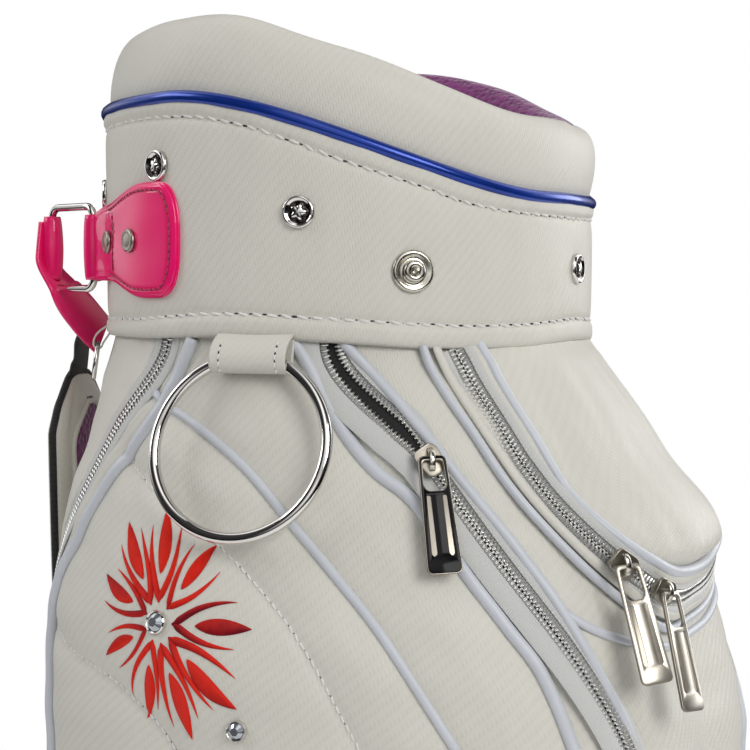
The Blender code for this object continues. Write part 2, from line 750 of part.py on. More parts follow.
def shoulder_strap():
    rows = []
    steps = 10
    outline = [(math.cos(2 * math.pi * i / 12), math.sin(2 * math.pi * i / 12)) for i in range(12)]
    for k in range(steps + 1):
        t = k / steps
        taper = min(1, 0.45 + 1.8 * math.sin(math.pi * t))
        centre = strap_line(t)
        out = around(STRAP_ANGLE, 1, 0)
        side = Vector((0, 0, 1)).cross(out).normalized()
        thick = PAD_HALF_THICKNESS * (0.55 + 0.45 * taper)
        rows.append([centre + side * PAD_HALF_WIDTH * taper * c + out * thick * s for c, s in outline])
    count = len(outline)
    vertices = [point for row in rows for point in row]
    faces = []
    for r in range(steps):
        for c in range(count):
            d = (c + 1) % count
            faces.append((r * count + c, (r + 1) * count + c, (r + 1) * count + d, r * count + d))
    faces.append(tuple(range(count)))
    faces.append(tuple(range(steps * count + count - 1, steps * count - 1, -1)))
    obj = add_object("shoulder_pad", mesh_from("shoulder_pad", vertices, faces), WHITE)
    built = bmesh.new()
    built.from_mesh(obj.data)
    bmesh.ops.recalc_face_normals(built, faces=built.faces)
    built.to_mesh(obj.data)
    built.free()
    smooth(obj, 60)
    clear = Vector((0, 0, 0.0008))
    strap_web("strap_web_upper", [(-0.068, 0.123, 0.7545), (-0.060, 0.131, 0.737), (-0.044, 0.136, 0.712),
                                  tuple(strap_line(0) + clear)])
    strap_web("strap_web_lower", [tuple(strap_line(1) - clear), tuple(around(STRAP_ANGLE, 0.1365, 0.378)),
                                  tuple(around(STRAP_ANGLE, 0.1291, 0.3595))])


def strap_web(name, points):
    """A webbing band 22 mm wide and 2 mm thick that follows the points, facing outwards."""
    out = around(STRAP_ANGLE, 1, 0)
    side = Vector((0, 0, 1)).cross(out).normalized()
    path = [(Vector(p), side, out) for p in points]
    ribbon(name, path, 0.011, 0.002, BLACK)


def lower_strap_fittings():
    mount = empty("strap_ring_lower_hinge", skin_frame(STRAP_ANGLE, LOWER_RING_HEIGHT, 0.0062))
    ring = wire("strap_ring_lower", [(z, 0, x) for x, _, z in ring_outline(0.028, 0.016, 0.005)],
                STRAP_RING_WIRE, CHROME, True)
    hang(ring, mount)
    hang(tube_loop("strap_loop_lower", 0.0023, 0.0042, 0.010, PINK), mount, (0, 0, 0.028), (0, 90, 0))
    plate = box("strap_tab_lower", (0.030, 0.0025, 0.052), PINK)
    hang(plate, mount, (0, 0.0040, -0.026))
    loop = tube_loop("strap_tab_lower_loop", 0.0023, 0.0044, 0.010, PINK)
    hang(loop, mount, (0, 0, 0), (0, 90, 0))
    boolean(plate, loop, "UNION")


def grab_handle():
    angle, low, high = HANDLE_ANGLE, HANDLE_BOTTOM, HANDLE_TOP
    points = []
    steps = 12
    for i in range(steps + 1):
        t = i / steps
        z = low + (high - low) * t
        points.append(around(angle, skin_radius(angle, z) + 0.0065 + 0.030 * math.sin(math.pi * t) ** 0.7, z))
    handle = realised(wire("grab_handle", points, 0.0055, WHITE), WHITE)
    for name, z in (("handle_anchor_bottom", low - 0.004), ("handle_anchor_top", high + 0.004)):
        plate = box(name, (0.030, 0.005, 0.034), WHITE)
        hang(plate, empty(name + "_place", skin_frame(angle, z, 0.0045)))
        boolean(handle, plate, "UNION")


def towel_ring():
    frame = facing(TOWEL_ANGLE, TOWEL_HINGE_RADIUS, TOWEL_HINGE_HEIGHT, TOWEL_RING_LEAN)
    pivot = empty("towel_ring_hinge", frame)
    steps = 40
    circle = [(TOWEL_RING_RADIUS * math.sin(2 * math.pi * i / steps), 0,
               TOWEL_RING_RADIUS * (math.cos(2 * math.pi * i / steps) - 1)) for i in range(steps)]
    hang(wire("towel_ring", circle, TOWEL_RING_WIRE, CHROME, True), pivot)
    tab = tube_loop("towel_ring_tab", 0.0042, 0.0054, 0.010, WHITE)
    hang(tab, empty("towel_tab_place", facing(TOWEL_ANGLE, TOWEL_HINGE_RADIUS, TOWEL_HINGE_HEIGHT)),
         (0, 0, 0), (0, 90, 0))


def accessory_ring():
    angle, radius, height = 143, 0.1198, 0.7315
    pivot = empty("accessory_ring_hinge", facing(angle, radius, height, 8))
    steps = 20
    size = 0.0085
    circle = [(size * math.sin(2 * math.pi * i / steps), 0, size * (math.cos(2 * math.pi * i / steps) - 1))
              for i in range(steps)]
    hang(wire("accessory_ring", circle, 0.0011, CHROME, True), pivot)


# Zip sliders and pulls

PULL_LENGTH = 0.047
PULL_THICKNESS = 0.0016
HINGE_STAND_OFF = 0.0040


def slider_body(name, frame, arch_frame):
    """A zip slider: a wedge body along the zip with a bail arch that is turned to the pull's line."""
    body = box(name, (0.0085, 0.0036, 0.012), NICKEL, 0.0008)
    hang(body, empty(name + "_place", frame))
    arch_place = empty(name + "_arch_place", arch_frame)
    # Each outline has x along the pull's line and y outwards.
    outlines = {
        "arch": ([(-0.0050, -0.0030), (-0.0050, 0.0012), (-0.0030, 0.0036), (0.0030, 0.0036),
                  (0.0050, 0.0012), (0.0050, -0.0030)], 0.0022),
        "eye": ([(-0.0034, -0.0016), (-0.0034, 0.0006), (-0.0022, 0.0024), (0.0022, 0.0024),
                 (0.0034, 0.0006), (0.0034, -0.0016)], 0.004),
    }
    for kind, operation in (("arch", "UNION"), ("eye", "DIFFERENCE")):
        outline, width = outlines[kind]
        piece = realised(flat_shape(name + "_" + kind, [outline], width, NICKEL), NICKEL)
        hang(piece, arch_place, (0, -0.0030, 0))
        piece.rotation_euler = Matrix(((0, 0, 1), (0, -1, 0), (1, 0, 0))).to_euler()
        boolean(body, piece, operation)
    return body


def pull(name, frame, size):
    """A flat pull whose top bar turns in the slider's bail: its frame's origin is on the bar."""
    top, bottom, half_top, half_bottom = 0.0010, -PULL_LENGTH * size, 0.0058, 0.0058 + 0.0056 * (size - 0.75)
    outline = [(-half_top + 0.001, top), (half_top - 0.001, top), (half_top, top - 0.001),
               (half_bottom, bottom + 0.002), (half_bottom - 0.002, bottom), (-half_bottom + 0.002, bottom),
               (-half_bottom, bottom + 0.002), (-half_top, top - 0.001)]
    window = [(-0.0040, -0.0010), (0.0040, -0.0010), (0.0040, -0.0110), (0.0024, -0.0136), (-0.0024, -0.0136),
              (-0.0040, -0.0110)]
    plate = flat_shape(name, [outline, window], PULL_THICKNESS, NICKEL)
    return hang(plate, empty(name + "_hinge", frame), rotation=(90, 0, 0))


def zip_fitting(name, place, outward, along, down, size=1.0):
    """A slider that lies along its zip, and a pull that hangs from it in the direction down."""
    arch_frame = aligned(place, outward, down)
    slider_body("slider_" + name, aligned(place, outward, along), arch_frame)
    swing = math.asin(Vector(down).normalized().dot(Vector(outward).normalized()))
    turn = Matrix.Rotation(-swing, 4, "X")
    pull("pull_" + name, arch_frame @ Matrix.Translation((0, -HINGE_STAND_OFF, 0)) @ turn, size)


def mirror_x(vector):
    return Vector((-vector[0], vector[1], vector[2]))


def sliders():
    top, travel = FRONT_SLIDER_HEIGHT, 0.050
    angle = front_seam(top)
    place, outward, down = on_skin(angle, top, 0.0036), skin_normal(angle, top), fall_line(angle, top)
    along = on_skin(front_seam(top - travel), top - travel, 0.0036) - place
    zip_fitting("front_left", place, outward, along, down)
    zip_fitting("front_right", *[mirror_x(v) for v in (place, outward, along, down)])
    height = SIDE_SLIDER_HEIGHT
    angle = side_seam(height)
    place, outward = on_skin(angle, height, 0.0036), skin_normal(angle, height)
    along = on_skin(side_seam(height - travel), height - travel, 0.0036) - place
    down = (0, 0, -1)
    zip_fitting("side_left", place, outward, along, down)
    zip_fitting("side_right", *[mirror_x(v) for v in (place, outward, along, down)])
    path = mirrored_path(top_zip_path())
    for name, station, down in TOP_SLIDERS:
        centre, across, normal = path[station]
        along = path[station + 1][0] - path[station - 1][0]
        zip_fitting(name, centre + normal * TOP_SLIDER_LIFT, normal, along, down)
    centre, across, normal = ball_zip_path()[BALL_SLIDER_STATION]
    down = (0, 0, -1)
    zip_fitting("ball", centre + normal * 0.0034, normal, down, down, 0.75)


def main():
    clear_scene()
    inside()
    body_panels()
    collar()
    front_top_pocket()
    ribbon("top_pocket_zip", mirrored_path(top_zip_path()), 0.0035, 0.0012, TAPE)
    ball_pocket()
    ribbon("ball_pocket_zip", mirrored_path(ball_zip_path()), 0.0035, 0.0012, TAPE)
    rivets()
    strap_tab_upper()
    upper_strap_fittings()
    shoulder_strap()
    lower_strap_fittings()
    grab_handle()
    towel_ring()
    accessory_ring()
    sliders()


main()
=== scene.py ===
import math
from functools import partial

import bmesh
import bpy
import numpy as np
from mathutils import Matrix, Vector


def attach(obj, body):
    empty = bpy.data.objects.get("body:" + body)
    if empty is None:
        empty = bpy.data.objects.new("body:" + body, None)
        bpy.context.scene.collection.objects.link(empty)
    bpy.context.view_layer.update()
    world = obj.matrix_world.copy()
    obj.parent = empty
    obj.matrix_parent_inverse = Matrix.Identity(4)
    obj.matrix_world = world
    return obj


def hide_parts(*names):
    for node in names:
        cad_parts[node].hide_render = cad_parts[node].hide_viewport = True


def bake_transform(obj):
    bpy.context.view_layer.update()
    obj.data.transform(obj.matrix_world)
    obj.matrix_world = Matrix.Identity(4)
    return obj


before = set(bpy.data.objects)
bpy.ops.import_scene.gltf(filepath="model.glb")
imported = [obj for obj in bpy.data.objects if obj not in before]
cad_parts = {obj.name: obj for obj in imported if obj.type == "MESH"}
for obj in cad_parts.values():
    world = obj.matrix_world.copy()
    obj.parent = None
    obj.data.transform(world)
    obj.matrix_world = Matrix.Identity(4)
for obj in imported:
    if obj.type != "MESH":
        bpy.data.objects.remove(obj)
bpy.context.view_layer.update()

# Dimensions repeated from the CAD source, in metres unless a name says otherwise.
GIRTH_ANGLES = (0, 24, 45, 62, 78, 92, 110, 130, 145, 160, 180)
GIRTHS = {
    45: (123,) * 11,
    90: (140, 142, 140, 136, 133, 131, 129, 127, 123, 120, 119),
    180: (166, 180, 168, 157, 148, 144, 141, 138, 131, 121, 118),
    350: (172, 187, 175, 161, 152, 148, 145, 142, 135, 122, 118),
    480: (173, 188, 175, 162, 154, 150, 148, 146, 138, 123, 117),
    550: (175, 189, 172, 160, 153, 149, 148, 147, 140, 124, 116),
    600: (165, 178, 165, 156, 151, 148, 147, 146, 139, 123, 115),
    650: (147, 157, 150, 142, 138, 137, 137, 137, 131, 119, 114),
    690: (126, 134, 132, 128, 126, 125, 125, 124, 121, 115, 113),
    735: (111.4,) * 11,
    742: (110.8,) * 11,
}
FRONT_ZIP_SEAM = ((90, 24), (180, 22), (480, 22.5), (550, 23.5), (580, 25.7), (612, 30.5),
                  (654, 39.5), (694, 49.5), (735, 65.5))
SIDE_ZIP_SEAM = ((90, 116), (180, 118), (350, 122), (480, 128), (555, 133.5), (600, 136.5),
                 (628, 134), (667, 125.8), (697, 118.2), (735, 106.5))
SKIN_BOTTOM, SKIN_TOP = 0.046, 0.741
CUFF_RADIUS, CUFF_THICKNESS = 0.115, 0.0026
RIM_FRONT, RIM_RISE, RIM_RISE_FROM, RIM_RISE_TO = 0.796, 0.0415, 15, 105
RIM_TILT = 0.15
LID_EDGE = ((637, 160), (646, 158), (656, 152), (665, 144), (683, 126), (697, 116), (726, 97), (738, 90))
LID_CROWN = ((637, 12), (646, 20), (656, 24), (665, 26), (697, 27), (726, 25), (738, 22))
LID_HALF_WIDTH, LID_TOP, LID_CORNER, LID_BOTTOM = 0.0625, 0.733, 0.675, 0.637
GUSSET_HALF_WIDTH, GUSSET_CORNER, GUSSET_BOTTOM = 0.083, 0.700, 0.612
POCKET_STAND_OFF = 0.0036
BALL_HALF_WIDTH, BALL_TOP, BALL_BOTTOM, BALL_DEPTH = 0.060, 0.455, 0.150, 0.020
BALL_ZIP_STEPS = 12
PULL_LENGTH, HINGE_STAND_OFF = 0.047, 0.0040
STRAP_ANGLE = 168
STRAP_HINGE_ANGLE, STRAP_HINGE_RADIUS, STRAP_HINGE_HEIGHT = 139, 0.1215, 0.776
STRAP_LOOP_HALF_HEIGHT = 0.0150
# The pink tab: its rounded end, how far that takes to reach full width, and its half width by angle.
TAB_END, TAB_NOSE, TAB_SQUARENESS = 100.0, 6.8, 2.6
TAB_HALF = ((100, 0.0240), (106, 0.0241), (110, 0.0242), (114, 0.0237), (119.5, 0.0209), (124, 0.0183),
            (127, 0.0172), (133, 0.0163), (139, 0.0151))
TAB_ROOT = 139.0
TAB_MIDDLE, TAB_INSET = STRAP_HINGE_HEIGHT + 0.002, 0.0030
TOWEL_ANGLE, TOWEL_HINGE_RADIUS, TOWEL_HINGE_HEIGHT, TOWEL_RING_LEAN = 81.5, 0.1193, 0.7295, 19
TOWEL_RING_RADIUS = 0.0375
FRONT_SLIDER_HEIGHT, SIDE_SLIDER_HEIGHT = 0.689, 0.44
TOP_SLIDERS = (("top_1", 22, (-0.20, -0.34, -0.92)), ("top_2", 20, (-0.22, -0.28, -0.93)))
TOP_SLIDER_LIFT = 0.0048
CLOTH_FRAMES = 20
# The room's grey level from straight down (0) to straight up (1): for soft light, and for what metal shows.
SOFT_LIGHT = ((0.0, 0.55), (0.40, 0.28), (0.50, 0.45), (0.62, 0.75), (0.80, 1.0), (1.0, 1.1))
SHINE_LIGHT = ((0.0, 0.30), (0.38, 0.10), (0.47, 0.45), (0.54, 1.15), (0.66, 0.55), (0.82, 1.5), (1.0, 0.9))
LIGHT_TURN = 2.0665
MEAN_RADIUS = 0.145  # turns an angle into a length along the skin
ZIP_PITCH = 0.0020

# Lines on the left side of the skin, as (angle in degrees, height in metres); the right side mirrors them.
SIDE_PIPING = ((97.9, 0.7365), (105.3, 0.704), (116.5, 0.669), (121.8, 0.648), (127.8, 0.628),
               (130, 0.600), (126.5, 0.555), (120, 0.480), (115, 0.350), (112, 0.180), (112, 0.060))
DIAGONAL_PIPING = ((107.5, 0.713), (104.5, 0.7095), (95.9, 0.703), (82.5, 0.687), (72.4, 0.666), (64, 0.645),
                   (58, 0.627), (53.8, 0.610), (47.8, 0.582), (41, 0.548), (35.5, 0.520), (31, 0.490))
FRONT_PIPING = ((74, 0.7365), (70.3, 0.726), (66.1, 0.711), (57.2, 0.685), (52.2, 0.676),
                (46.9, 0.658), (44.2, 0.6465), (39.5, 0.6265), (35.6, 0.608), (32.8, 0.580), (30.4, 0.545),
                (29.4, 0.480), (29.2, 0.180), (31, 0.060))
PANEL_PIPING = ((63.4, 0.7360), (55.6, 0.720), (49, 0.7025), (42.9, 0.682), (36.7, 0.6586), (32, 0.6367),
                (28.4, 0.6135), (23.6, 0.5787), (19.6, 0.545), (18.2, 0.480), (17.8, 0.180), (19.8, 0.060))
UNDER_POCKET = ((0, 0.6045), (7.3, 0.6055), (15.3, 0.6105), (22.9, 0.617), (27.4, 0.623), (30.6, 0.630))
QUILT_UPPER = ((112, 0.688), (110.9, 0.6855), (87.3, 0.6578), (77.9, 0.6415), (69.3, 0.6198), (61.1, 0.583),
               (52, 0.535), (44, 0.480), (39, 0.430))
QUILT_LOWER = ((128, 0.606), (121.9, 0.6017), (106.2, 0.5955), (96.4, 0.585), (90.5, 0.5727), (80, 0.540),
               (70, 0.490), (62, 0.430), (56, 0.360))
QUILT_FOOT = ((118, 0.330), (100, 0.318), (84, 0.290), (72, 0.250), (64, 0.200), (60, 0.150))
BACK_SEAM = ((112, 0.745), (116.6, 0.734), (120.6, 0.707), (128, 0.676), (140, 0.640), (150, 0.560), (155, 0.420))
CUFF_UPPER_STITCH = ((0, 0.7882), (11, 0.7886), (24, 0.7896), (36, 0.7927), (46.6, 0.7991), (56.5, 0.805),
                     (64.6, 0.8105), (74.4, 0.818), (84.8, 0.8246), (96.5, 0.829), (110, 0.8302), (180, 0.8302))
CUFF_LOWER_STITCH = ((0, 0.7436), (11, 0.7428), (23.5, 0.7418), (36, 0.7418), (46.6, 0.7428), (56.5, 0.7440),
                     (64.6, 0.7450), (74.5, 0.7460), (84, 0.7468), (93, 0.7468), (104, 0.7454), (120, 0.7436),
                     (180, 0.7436))
CUFF_EDGE = ((0, 0.7338), (11, 0.7331), (23.4, 0.7322), (33, 0.7322), (46.6, 0.7328), (56.5, 0.7342),
             (69.5, 0.7357), (80, 0.7368), (94, 0.7368), (113, 0.7358), (180, 0.7355))

# Shape functions


def hermite(places, values, x):
    """A monotone cubic through the values at rising places, flat beyond both ends.

    The values may hold one column for each x.
    """
    places = np.asarray(places, float)
    x = np.clip(np.asarray(x, float), places[0], places[-1])
    flat = x.ravel()
    values = np.asarray(values, float).reshape(len(places), -1)
    values = np.broadcast_to(values, (len(places), flat.size))
    slope = np.diff(values, axis=0) / np.diff(places)[:, None]
    before, after = slope[:-1], slope[1:]
    same = before * after > 0
    inner = np.where(same, 2 * before * after / np.where(same, before + after, 1), 0)
    edge = np.zeros((1, flat.size))
    tangent = np.vstack([edge, inner, edge])
    i = np.clip(np.searchsorted(places, flat, side="right") - 1, 0, len(places) - 2)
    pick = np.arange(flat.size)
    span = np.diff(places)[i]
    t = (flat - places[i]) / span
    found = ((2 * t**3 - 3 * t**2 + 1) * values[i, pick] + (t**3 - 2 * t**2 + t) * span * tangent[i, pick]
             + (3 * t**2 - 2 * t**3) * values[i + 1, pick] + (t**3 - t**2) * span * tangent[i + 1, pick])
    return found.reshape(x.shape)


def through(knots, x):
    """The smooth curve through (place, value) knots, read at x."""
    return hermite([k[0] for k in knots], [k[1] for k in knots], x)


def skin_radius(angle, height):
    """The bag's radius at angles from its front in degrees, towards its left side, and heights in metres."""
    angle, height = np.broadcast_arrays(np.asarray(angle, float), np.asarray(height, float))
    folded = np.abs((angle + 180) % 360 - 180)
    rows = [hermite(GIRTH_ANGLES, row, folded).ravel() for row in GIRTHS.values()]
    return hermite(list(GIRTHS), rows, height * 1000) / 1000


def around(angle, radius, height):
    """Points by angle in degrees, radius and height."""
    angle, radius, height = np.broadcast_arrays(*[np.asarray(v, float) for v in (angle, radius, height)])
    a = np.radians(angle)
    return np.stack([-radius * np.sin(a), -radius * np.cos(a), height], -1)


def unit(vectors):
    """Vectors scaled to length 1."""
    return vectors / np.maximum(np.linalg.norm(vectors, axis=-1, keepdims=True), 1e-12)


def skin_normal(angle, height):
    """The skin's outward direction at angles and heights."""
    d_angle = (around(angle + 1, skin_radius(angle + 1, height), height)
               - around(angle - 1, skin_radius(angle - 1, height), height))
    up, down = height + 0.004, height - 0.004
    d_height = around(angle, skin_radius(angle, up), up) - around(angle, skin_radius(angle, down), down)
    return unit(np.cross(d_height, d_angle))


def on_skin(angle, height, offset=0.0):
    """Points on the skin, moved along its normal."""
    angle, height = np.broadcast_arrays(np.asarray(angle, float), np.asarray(height, float))
    place = around(angle, skin_radius(angle, height), height)
    return place + skin_normal(angle, height) * np.asarray(offset, float)[..., None]


def front_seam(height):
    """The angle of the front zip at a height."""
    return through(FRONT_ZIP_SEAM, np.asarray(height) * 1000)


def side_seam(height):
    """The angle of the side zip at a height."""
    return through(SIDE_ZIP_SEAM, np.asarray(height) * 1000)


def rim_height(angle):
    """The collar's top edge: low at the front, rising towards the back."""
    t = (np.abs((angle + 180) % 360 - 180) - RIM_RISE_FROM) / (RIM_RISE_TO - RIM_RISE_FROM)
    t = np.clip(t, 0, 1)
    return RIM_FRONT + RIM_RISE * t * t * (3 - 2 * t)


def travelled(points):
    """How far along a path each of its points lies."""
    return np.concatenate([[0], np.cumsum(np.linalg.norm(np.diff(points, axis=0), axis=1))])


def straight(t, places, points):
    """Points given at rising places, read at t along the straight lines between them."""
    return np.stack([np.interp(t, places, column) for column in np.transpose(points)], -1)


def curved(t, places, points):
    """Points given at rising places, read at t on the smooth curve through them."""
    return np.stack([hermite(places, column, t) for column in np.transpose(points)], -1)


def both_sides(line):
    """A line on the skin and its mirror image, each with its side's name."""
    return ("left", np.asarray(line)), ("right", np.asarray(line) * (-1, 1))


def smoothed(line, count=160):
    """A line's points resampled evenly on a smooth curve through them."""
    line = np.asarray(line, float)
    step = np.hypot(np.diff(np.radians(line[:, 0]) * MEAN_RADIUS), np.diff(line[:, 1]))
    along = np.concatenate([[0], np.cumsum(step)])
    return curved(np.linspace(0, along[-1], count), along, line)


def distance_to(line, angle, height):
    """How far each point of the skin is from a line on it, in metres."""
    s, z = np.radians(np.abs(angle)).ravel() * MEAN_RADIUS, height.ravel()
    line = smoothed(line, 60)
    a = np.stack([np.radians(line[:-1, 0]) * MEAN_RADIUS, line[:-1, 1]], -1)
    b = np.stack([np.radians(line[1:, 0]) * MEAN_RADIUS, line[1:, 1]], -1)
    best = np.full(s.size, 1e9)
    for p, q in zip(a, b):
        d = q - p
        t = np.clip(((s - p[0]) * d[0] + (z - p[1]) * d[1]) / (d @ d), 0, 1)
        best = np.minimum(best, np.hypot(s - p[0] - t * d[0], z - p[1] - t * d[1]))
    return best.reshape(np.shape(angle))


def ripple(u, v, size, seed):
    """A smooth uneven field of about -1 to 1, from a few fixed waves of about that wavelength."""
    random = np.random.RandomState(seed)
    total = np.zeros(np.broadcast(u, v).shape)
    for _ in range(7):
        turn, wave = random.uniform(0, math.pi), size * random.uniform(0.6, 1.7)
        total += np.sin((u * math.cos(turn) + v * math.sin(turn)) * 2 * math.pi / wave + random.uniform(0, 7))
    return total / 3.2


QUILTS = (QUILT_UPPER, QUILT_LOWER, QUILT_FOOT)
CORDS = (SIDE_PIPING, DIAGONAL_PIPING, FRONT_PIPING, PANEL_PIPING)


def relief(angle, height):
    """How far the padded skin stands off its plain shape: full between seams, drawn in along them."""
    shape = np.shape(angle)
    total, nearest = np.zeros(shape), np.full(shape, 1.0)
    for line in QUILTS:
        d = distance_to(line, angle, height)
        total -= 0.0013 * np.exp(-((d / 0.0017) ** 2)) + 0.0009 * np.exp(-((d / 0.006) ** 2))
        nearest = np.minimum(nearest, d)
    for line in CORDS:
        d = distance_to(line, angle, height)
        total -= 0.0010 * np.exp(-((d / 0.0045) ** 2))
        nearest = np.minimum(nearest, d)
    d = distance_to(BACK_SEAM, angle, height)
    total -= 0.0006 * np.exp(-((d / 0.0022) ** 2))
    for seam in (front_seam, side_seam):
        d = np.radians(np.abs(np.abs(angle) - seam(height))) * skin_radius(angle, height)
        nearest = np.minimum(nearest, d)
        total -= 0.0009 * np.exp(-(((d - 0.0065) / 0.0016) ** 2))
    puff = 0.0018 * (1 - np.exp(-((nearest / 0.016) ** 2)))
    s = np.radians(angle) * MEAN_RADIUS
    creases = 0.00035 * ripple(s, height, 0.034, 3) + 0.0006 * ripple(s, height, 0.11, 5)
    tucked = np.clip((0.737 - height) / 0.02, 0, 1) * np.clip((height - 0.05) / 0.02, 0, 1)
    return (total + puff + creases) * tucked


# Mesh helpers


def build(name, points, faces, looks, body="root", slot=None, replaces=None, facing="closed", sharp=None,
          material_of=None):
    """A mesh piece that rides on a body. Facing says which way its faces look: closed, out or in."""
    points = np.asarray(points, float).reshape(-1, 3)
    mesh = bpy.data.meshes.new(name)
    mesh.from_pydata(points.tolist(), [], faces.tolist() if isinstance(faces, np.ndarray) else faces)
    mesh.update()
    mesh.calc_loop_triangles()
    corners = np.empty(len(mesh.loop_triangles) * 3, np.int32)
    mesh.loop_triangles.foreach_get("vertices", corners)
    a, b, c = points[corners.reshape(-1, 3)].transpose(1, 0, 2)
    turned = np.cross(b - a, c - a)
    middle = (a + b + c) / 3
    if facing == "closed":
        outward = (middle * turned).sum()
    else:
        outward = (middle[:, :2] * turned[:, :2]).sum() * (-1 if facing == "in" else 1)
    if outward < 0:
        mesh.flip_normals()
    mesh.shade_smooth()
    if sharp:
        mesh.set_sharp_from_angle(angle=math.radians(sharp))
    obj = bpy.data.objects.new(name, mesh)
    bpy.context.scene.collection.objects.link(obj)
    for look in looks if isinstance(looks, list) else [looks]:
        mesh.materials.append(look)
    if material_of is not None:
        mesh.polygons.foreach_set("material_index", np.asarray(material_of, np.int32))
    if body:
        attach(obj, body)
    if replaces:
        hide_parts(replaces)
    return obj


def grid_faces(rows, columns, wrap=False, loop=False):
    """Quads through a grid of points. Wrap closes each row on itself, and loop joins the last row to the first."""
    index = np.arange(rows * columns).reshape(rows, columns)
    if loop:
        index = np.vstack([index, index[:1]])
    if wrap:
        index = np.hstack([index, index[:, :1]])
    return np.stack([index[:-1, :-1], index[1:, :-1], index[1:, 1:], index[:-1, 1:]], -1).reshape(-1, 4)


def capped_faces(rows, columns):
    """Quads round a closed form, with a face over each end."""
    count = rows * columns
    ends = [list(range(columns)), list(range(count - 1, count - columns - 1, -1))]
    return grid_faces(rows, columns, True).tolist() + ends


def cloth_grid(name, points, look, thickness=0.0, wrap=False, **more):
    """A surface through rows of points, made solid towards its inner side by a thickness."""
    rows, columns = points.shape[:2]
    more.setdefault("facing", "out")
    obj = build(name, points, grid_faces(rows, columns, wrap), look, **more)
    if thickness:
        modifier = obj.modifiers.new("Thickness", "SOLIDIFY")
        modifier.thickness = thickness
        modifier.offset = -1
        modifier.use_even_offset = False
    return obj


def resample(points, step):
    """A path's points at even steps."""
    points = np.asarray(points, float)
    along = travelled(points)
    count = max(2, int(round(along[-1] / step)) + 1)
    return straight(np.linspace(0, along[-1], count), along, points)


def along_of(points, loop=False):
    """A path's direction at each of its points."""
    if loop:
        return unit(np.roll(points, -1, 0) - np.roll(points, 1, 0))
    return unit(np.gradient(points, axis=0))


def frames_on(points, outs, loop=False):
    """Side and outward directions for a path whose rough outward directions are known."""
    tangent = along_of(points, loop)
    side = unit(np.cross(tangent, outs))
    return side, unit(np.cross(side, tangent))


def evenly(points, outs, step):
    """A path's points at even steps, with the side and outward directions there."""
    fine = resample(points, step)
    outs = straight(np.linspace(0, 1, len(fine)), np.linspace(0, 1, len(outs)), outs)
    return fine, *frames_on(fine, outs)


def turning_frames(points, first):
    """Side and outward directions carried along a free path without twist."""
    tangent = along_of(points)
    out = np.asarray(first, float)
    outs = []
    for t in tangent:
        out = unit(out - out.dot(t) * t)
        outs.append(out)
    outs = np.array(outs)
    return np.cross(tangent, outs), outs


def rings_along(points, side, out, profile):
    """A profile of (across, outwards) points, or one for each place, set at each place of a path."""
    profile = np.broadcast_to(np.asarray(profile, float), (len(points),) + np.shape(profile)[-2:])
    return points[:, None] + side[:, None] * profile[..., :1] + out[:, None] * profile[..., 1:]


def sweep(points, side, out, profile, loop=False):
    """The points and faces of a solid bar: a profile carried along a path."""
    rings = rings_along(points, side, out, profile)
    count, size = rings.shape[:2]
    return rings.reshape(-1, 3), (grid_faces(count, size, True, True).tolist() if loop else capped_faces(count, size))


def strand(name, points, outs, profile, look, loop=False, **more):
    """A cord, wire or strap as a piece, along a path whose rough outward directions are known."""
    verts, faces = sweep(points, *frames_on(points, outs, loop), profile, loop)
    return build(name, verts, faces, look, **more)


def merged(parts):
    """Several (points, faces) as one."""
    points, faces, start = [], [], 0
    for verts, polygons in parts:
        points.append(np.asarray(verts))
        faces += [[start + i for i in f] for f in polygons]
        start += len(verts)
    return np.vstack(points), faces


def round_profile(radius, sides=10, flat=1.0):
    """A circle or flattened circle as a cross-section."""
    a = np.arange(sides) * 2 * math.pi / sides
    return np.stack([radius * np.cos(a), radius * flat * np.sin(a)], -1)


def band_profile(half, thick, edge=0.3):
    """A flat band's cross-section with rounded edges, its underside at 0."""
    e = min(thick * edge, half * 0.5)
    return np.array([(-half, e), (-half + e, 0), (half - e, 0), (half, e), (half, thick - e), (half - e, thick),
                     (-half + e, thick), (-half, thick - e)])


def into(matrix, points):
    """Points given in a frame, in the bag's own coordinates."""
    points = np.asarray(points, float)
    m = np.array(matrix)
    return points @ m[:3, :3].T + m[:3, 3]


def outward_of(matrix):
    """The way that a frame's -Y looks."""
    return -np.array(matrix)[:3, 1]


def lathe(profile, steps=40):
    """A (radius, outwards) profile turned about -Y, its first and last points on the axis."""
    profile = np.asarray(profile, float)
    a = np.arange(steps) * 2 * math.pi / steps
    inner = profile[1:-1]
    rings = np.stack([inner[:, None, 0] * np.cos(a), -np.repeat(inner[:, 1:], steps, 1),
                      inner[:, None, 0] * np.sin(a)], -1)
    verts = np.vstack([[(0, -profile[0, 1], 0)], rings.reshape(-1, 3), [(0, -profile[-1, 1], 0)]])
    faces = [[0, 1 + i, 1 + (i + 1) % steps] for i in range(steps)]
    for r in range(len(inner) - 1):
        for i in range(steps):
            j = (i + 1) % steps
            faces.append([1 + r * steps + i, 1 + (r + 1) * steps + i, 1 + (r + 1) * steps + j, 1 + r * steps + j])
    last, start = len(verts) - 1, 1 + (len(inner) - 1) * steps
    faces += [[last, start + (i + 1) % steps, start + i] for i in range(steps)]
    return verts, faces


